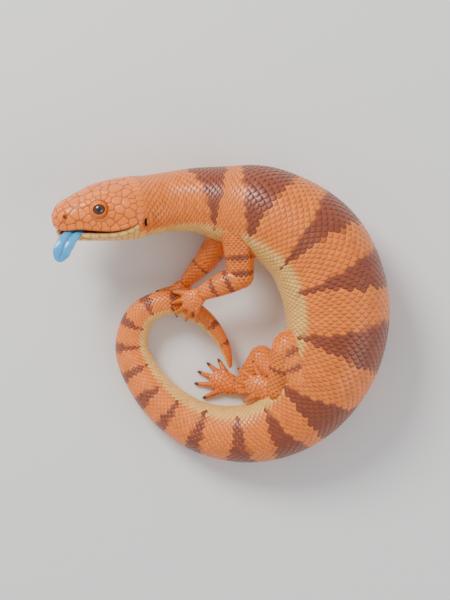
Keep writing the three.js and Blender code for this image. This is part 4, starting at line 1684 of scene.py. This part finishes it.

# %% [markdown]
# ## Ears and nostrils
# The ear is an open cup behind the corner of the mouth, painted dark inside as shade, and the nostril a small
# one in its own shield. Each is a little bowl with a rounded rim, set into the pit that was pressed for it.

# %% Ears and nostrils
BOWL_PROFILE = [(1.12, -0.9), (1.14, -0.1), (1.05, 0.12), (0.95, 0.1)]
BOWL_PROFILE += [(0.86, -0.25), (0.74, -0.55), (0.45, -0.85), (0.15, -0.97)]
BOWL_COLUMNS = 28
BOWL_RIM = 2.2
BOWL_SINKS = COAT * 0.6


def bowl(name, here, axes, radii, depth, tint):
    """A cup with a rounded rim, in its skin's colour outside and painted dark inside as shade."""
    turns = np.linspace(0, 2 * math.pi, BOWL_COLUMNS, endpoint=False)
    across = np.outer(np.cos(turns) * radii[0], axes[0]) + np.outer(np.sin(turns) * radii[1], axes[1])
    points = []
    colours = []
    for share, height in BOWL_PROFILE:
        lift = height * (depth if height < 0 else BOWL_RIM)
        points.append(here + axes[2] * (lift - BOWL_SINKS) + across * share)
        # Towards its bottom the cup turns DARK: painted shade inside the pit
        inner = smoothstep(0.98 - share, 0.0, 0.2)
        colours.append(np.tile(mix(tint, DARK, inner), (BOWL_COLUMNS, 1)))
    faces = grid_faces(len(BOWL_PROFILE), BOWL_COLUMNS, True)
    last = (len(BOWL_PROFILE) - 1) * BOWL_COLUMNS
    faces.append([last + k for k in range(BOWL_COLUMNS)])
    faces.append([BOWL_COLUMNS - 1 - k for k in range(BOWL_COLUMNS)])
    weld(make_piece(name, np.vstack(points), faces, SKIN, np.vstack(colours)))


for side, word in SIDES:
    for pit, label in ((EAR, "ear"), (NOSTRIL, "nostril")):
        here, axes = pit_frame(pit, side)
        bowl(f"{label}_{word}", here, axes, pit["radii"], pit["depth"], ORANGE * 0.75)
        print(label, word, "at", here.round(1), "mm")

# %% [markdown]
# ## Eyes and lids
# The eye is a dark wet ball in a lid that hugs it, a little longer than it is high. The lid is a ring
# that lies on a slightly larger ball, with a rounded rim, and it carries two rings of bead-like granules.

# %% The eyes
EYE_RADIUS = 4.7
EYE_GRID = (40, 48)
CORNEA_BULGE = 0.12
IRIS = np.array([0.09, 0.026, 0.008])


def ball_point(centre, outward, over, ahead, radius, tilt, turn):
    """A point of the eye's ball: tilt is the angle from its middle, turn the way round it."""
    across = ahead * np.cos(turn)[..., None] + over * np.sin(turn)[..., None]
    direction = outward * np.cos(tilt)[..., None] + across * np.sin(tilt)[..., None]
    return centre + direction * np.asarray(radius)[..., None]


for side, word in SIDES:
    tilt, turn = round_grid(*EYE_GRID)
    tilt *= math.pi
    bulge = EYE_RADIUS + CORNEA_BULGE * np.exp(-((tilt / 0.5) ** 2))
    eye_points = ball_point(*eye_frame(side), bulge, tilt, turn)
    iris = smoothstep(tilt, 0.36, 0.42) * (1 - smoothstep(tilt, 0.8, 1.0))
    eye_tint = mix(DARK * 0.3, IRIS, iris)
    eye = make_piece(f"eye_{word}", eye_points, grid_faces(*EYE_GRID, True), EYE_LOOK, eye_tint)
    weld(eye)
    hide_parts(f"{word}_eye")
    print(eye.name, len(eye.data.vertices), "vertices")

# %% The lids
LID_OPENING = (54, 44)
LID_COLUMNS = 64

# The lid's section as tilt, radius and painted shade, darkest where the lid meets the eye and where it turns
# in behind. In front the tilt is counted from the opening's edge, and behind from the middle of the eye. The
# brow is between them, past the edge but never less than its start
LID_FRONT = [(0.04, 4.74, 0.35), (-0.02, 4.95, 0.45), (0.0, 5.2, 0.8), (0.1, 5.4, 1.0), (0.25, 5.5, 1.0)]
LID_BROW = (0.4, 5.75, 1.0)
LID_BROW_FROM = 1.22
LID_BACK = [(1.42, 6.3, 0.9), (1.6, 6.2, 0.7), (1.6, 4.9, 0.6), (1.2, 4.76, 0.5)]


def lid_tilt(turn):
    """How far the opening's edge is from the middle of the eye, wider along the head than across."""
    wide, high = LID_OPENING
    return np.radians(1 / np.sqrt((np.cos(turn) / wide) ** 2 + (np.sin(turn) / high) ** 2))


turns = np.linspace(0, 2 * math.pi, LID_COLUMNS, endpoint=False)
opening = lid_tilt(turns)
lid_profile = [(opening + past, radius, shade) for past, radius, shade in LID_FRONT]
lid_profile.append((np.maximum(opening + LID_BROW[0], LID_BROW_FROM), *LID_BROW[1:]))
lid_profile += [(np.full(LID_COLUMNS, tilt), radius, shade) for tilt, radius, shade in LID_BACK]
lid_profile.append(lid_profile[0])
# The lid is orange, darkened ring by ring by its painted shade
lid_tint = np.vstack([np.tile(ORANGE * shade, (LID_COLUMNS, 1)) for _, _, shade in lid_profile])
lids = {}
for side, word in SIDES:
    rings = []
    for tilt, radius, _ in lid_profile:
        rings.append(ball_point(*eye_frame(side), np.full(LID_COLUMNS, radius), tilt, turns))
    lid_faces = grid_faces(len(lid_profile), LID_COLUMNS, True)
    lids[side] = make_piece(f"lid_{word}", np.vstack(rings), lid_faces, SKIN, lid_tint)
    weld(lids[side])
    print(lids[side].name, len(lids[side].data.vertices), "vertices")

# %% Granules on the lids
BEAD_RINGS = [(0.13, 22, 0.0), (0.34, 26, 0.5)]
BEAD_RADIUS = 5.5
BEAD_SIZE = 0.75

bead_turns = [(np.arange(count) + shift) * 2 * math.pi / count for past, count, shift in BEAD_RINGS]
bead_tilts = [lid_tilt(ring) + past for ring, (past, count, shift) in zip(bead_turns, BEAD_RINGS)]
bead_turns = np.concatenate(bead_turns)
bead_tilts = np.concatenate(bead_tilts)
bead_count = len(bead_turns)
bead_tones = ORANGE * (1 + 0.08 * np.cos(bead_turns * 9))[:, None]
for side, word in SIDES:
    beads = ball_point(*eye_frame(side), np.full(bead_count, BEAD_RADIUS), bead_tilts, bead_turns)
    normals = unit(beads - eye_frame(side)[0])
    across = 0.3 + 0.02 * np.cos(bead_turns) * bead_tilts
    up = 0.8 + side * 0.06 + 0.02 * np.sin(bead_turns) * bead_tilts
    sizes = np.full(bead_count, BEAD_SIZE)
    trees = [surface_tree(lids[side].data)] * bead_count
    laid = cell_plates(beads, normals, sizes, trees, bead_tones, (across, up), 0.05, 0.45, around=10)
    coat_piece(f"beads_{word}_lid", laid)

# %% [markdown]
# ## The tongue
# The blue tongue is broad, flat and fleshy, with a groove along its middle. It comes out at the left front
# of the mouth and droops over the lower lip. It is a flattened tube along a curve, turned on the way so
# that its upper side shows.

# %% The tongue
TONGUE_PATH = [(49, 5.5, -8.2), (56.5, 11.5, -8.6), (62, 16.2, -11.4), (66.5, 18.4, -17), (70, 18.6, -24)]
TONGUE_WIDTH = 6.6
TONGUE_THICKNESS = 1.7
TONGUE_GRID = (80, 56)
TONGUE_BLUE = np.array([0.045, 0.4, 0.78])
# A darker blue, painted as shade in the tongue's groove and at its root
TONGUE_SHADE_BLUE = np.array([0.02, 0.16, 0.42])

tongue_curve = spline([from_head(place) for place in TONGUE_PATH])
row, turn = round_grid(*TONGUE_GRID)
eased = 0.5 - 0.5 * np.cos(row * math.pi)
share = 0.35 * eased + 0.65 * row
centre, along = tongue_curve(share * (len(TONGUE_PATH) - 1))
breadths = [unit(np.array(v) @ HEAD_AXES) for v in ((0.9, -0.45, 0), (0.86, -0.2, 0.46))]
breadth = breadths[0] * (1 - share[:, None]) + breadths[1] * share[:, None]
breadth = unit(breadth - along * (breadth * along).sum(1, keepdims=True))
normal = np.cross(breadth, along)
taper = np.minimum(1, share * 8) * np.sqrt(np.clip(1 - np.maximum(0, (share - 0.6) / 0.4) ** 2.4, 0, 1))
wide = (TONGUE_WIDTH * (0.85 + 0.15 * share) - 0.15) * taper * (1 + 0.03 * np.sin(share * 26))
thick = (TONGUE_THICKNESS - 0.1) * np.sqrt(taper)
across = np.sin(turn)
groove = 0.75 * np.exp(-((across / 0.16) ** 2)) * (np.cos(turn) > 0) * smoothstep(taper, 0.25, 0.8)
lift = thick * signed_power(np.cos(turn), 0.8) - groove
tongue_points = centre + breadth * (wide * across)[:, None] + normal * lift[:, None]
# The blue darkens in the middle groove and towards the root inside the mouth: painted shade
tint = mix(TONGUE_BLUE, TONGUE_SHADE_BLUE, np.clip(groove / 0.8 + smoothstep(0.35 - share, 0, 0.3), 0, 1) * 0.75)
tongue_faces = grid_faces(*TONGUE_GRID, True)
tongue = make_piece("tongue_blue", tongue_points, tongue_faces, TONGUE, tint)
weld(tongue)
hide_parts("tongue")
print(tongue.name, len(tongue.data.vertices), "vertices")

# %% [markdown]
# ## Claws
# Each toe ends in a short curved claw of dark horn, thick where it leaves the toe and sharp at its tip.

# %% Claws
CLAW_PARTS = (-0.15, 0.15, 0.45, 0.72)
CLAW_TAPER = np.array([0.5, 0.44, 0.28, 0.07])
CLAW_BEND = 0.77
CLAW_LOWEST = 0.35
HORN = np.array([0.07, 0.03, 0.018])

for name, limb in limbs.items():
    claw_shells = []
    for toe in limb["toes"]:
        start, aim, length, radius, back = toe["claw"]
        bend = unit(back - aim * back.dot(aim))
        path = []
        for part in CLAW_PARTS:
            place = start + aim * length * part - bend * length * CLAW_BEND * part**2
            place[2] = max(place[2], CLAW_LOWEST)
            path.append(place)
        claw = tube(path, radius * CLAW_TAPER)
        claw_shells.append(shell(lambda share, angle: claw["point"](-0.1 + 1.12 * share, angle, 0.0), 12, 12))
    claw_points, claw_faces = joined(claw_shells)
    claw_tint = np.tile(HORN, (len(claw_points), 1))
    weld(make_piece(f"claws_{name}", claw_points, claw_faces, CLAW, claw_tint))
    print("claws of", name, len(claw_shells))

# %% [markdown]
# ## Floor, light and camera
# The camera looks straight down, as the picture does, and takes in the same width round the animal. A long
# lens keeps the outline close to the flat drawing. One large soft light from above and a pale surrounding
# give the scales their highlights.

# %% The floor and the surrounding
FLOOR_HALF = 3.0
FLOOR_COLOUR = (0.86, 0.85, 0.83, 1)
SKY_COLOUR = (0.95, 0.97, 1.0, 1)
SKY_STRENGTH = 0.6

floor_material = bpy.data.materials.new("Pale floor")
floor_material.use_nodes = True
floor_tree = floor_material.node_tree
plug(floor_tree, floor_tree.nodes["Principled BSDF"], {"Base Color": FLOOR_COLOUR, "Roughness": 0.85})
floor_mesh = bpy.data.meshes.new("floor")
corners = [(FLOOR_HALF * x, FLOOR_HALF * y, 0) for x, y in ((-1, -1), (1, -1), (1, 1), (-1, 1))]
floor_mesh.from_pydata(corners, [], [(0, 1, 2, 3)])
floor_mesh.materials.append(floor_material)
floor = bpy.data.objects.new("floor", floor_mesh)
bpy.context.scene.collection.objects.link(floor)

world = bpy.data.worlds.new("Pale surrounding")
world.use_nodes = True
sky = world.node_tree.nodes["Background"]
plug(world.node_tree, sky, {"Color": SKY_COLOUR, "Strength": SKY_STRENGTH})
bpy.context.scene.world = world
print("floor", 2 * FLOOR_HALF, "m wide")

# %% The lights
LIGHTS_AIM = Vector((0, 0, 0.03))


def soft_light(name, place, size, power, colour):
    """A round lamp of a size in metres and a power in watts, turned to the animal."""
    data = bpy.data.lights.new(name, "AREA")
    data.shape = "DISK"
    data.size = size
    data.energy = power
    data.color = colour
    light = bpy.data.objects.new(name, data)
    light.location = place
    light.rotation_euler = (LIGHTS_AIM - Vector(place)).to_track_quat("-Z", "Y").to_euler()
    bpy.context.scene.collection.objects.link(light)
    print(name, power, "W")


soft_light("window", place=(-0.75, 0.95, 1.15), size=0.7, power=27, colour=(1.0, 0.98, 0.95))
soft_light("fill", place=(1.1, -0.6, 0.9), size=1.2, power=7, colour=(0.95, 0.97, 1.0))

# %% The camera
FRAME_HEIGHT = 408 * MM
LOOK_AT = Vector((3.74 - CURL_MIDDLE[0], 5.78 - CURL_MIDDLE[1], 30)) * MM
LENS = 90
SENSOR = 24

camera_data = bpy.data.cameras.new("camera")
camera_data.sensor_fit = "VERTICAL"
camera_data.sensor_height = SENSOR
camera_data.lens = LENS
camera = bpy.data.objects.new("camera", camera_data)
camera.location = LOOK_AT + Vector((0, 0, FRAME_HEIGHT * LENS / SENSOR))
bpy.context.scene.collection.objects.link(camera)
bpy.context.scene.camera = camera
print("camera", round(camera.location.z, 2), "m above the floor")

# %% [markdown]
# ## What stands for what
# Every solid of the source that a piece of the scene stands for is hidden. The eyes and the tongue hid their
# solids as they were made. The two skins take the place of the solids of the flesh, and the scales, plates,
# lids and claws only add to them.

# %% What stands for what
FLESH = ["neck", "chest", "belly", "loin", "pelvis", "tail_base"]
FLESH += ["tail_2", "tail_3", "tail_4", "tail_5", "tail_tip"]
FLESH += [f"{side}_{part}" for side in ("left", "right") for part in ("upper_arm", "forearm", "hand")]
FLESH += [f"{side}_{part}" for side in ("left", "right") for part in ("thigh", "shank", "foot")]
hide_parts(*FLESH)
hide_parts("head", "jaw")
print("the skin of the body stands for", len(FLESH), "solids")
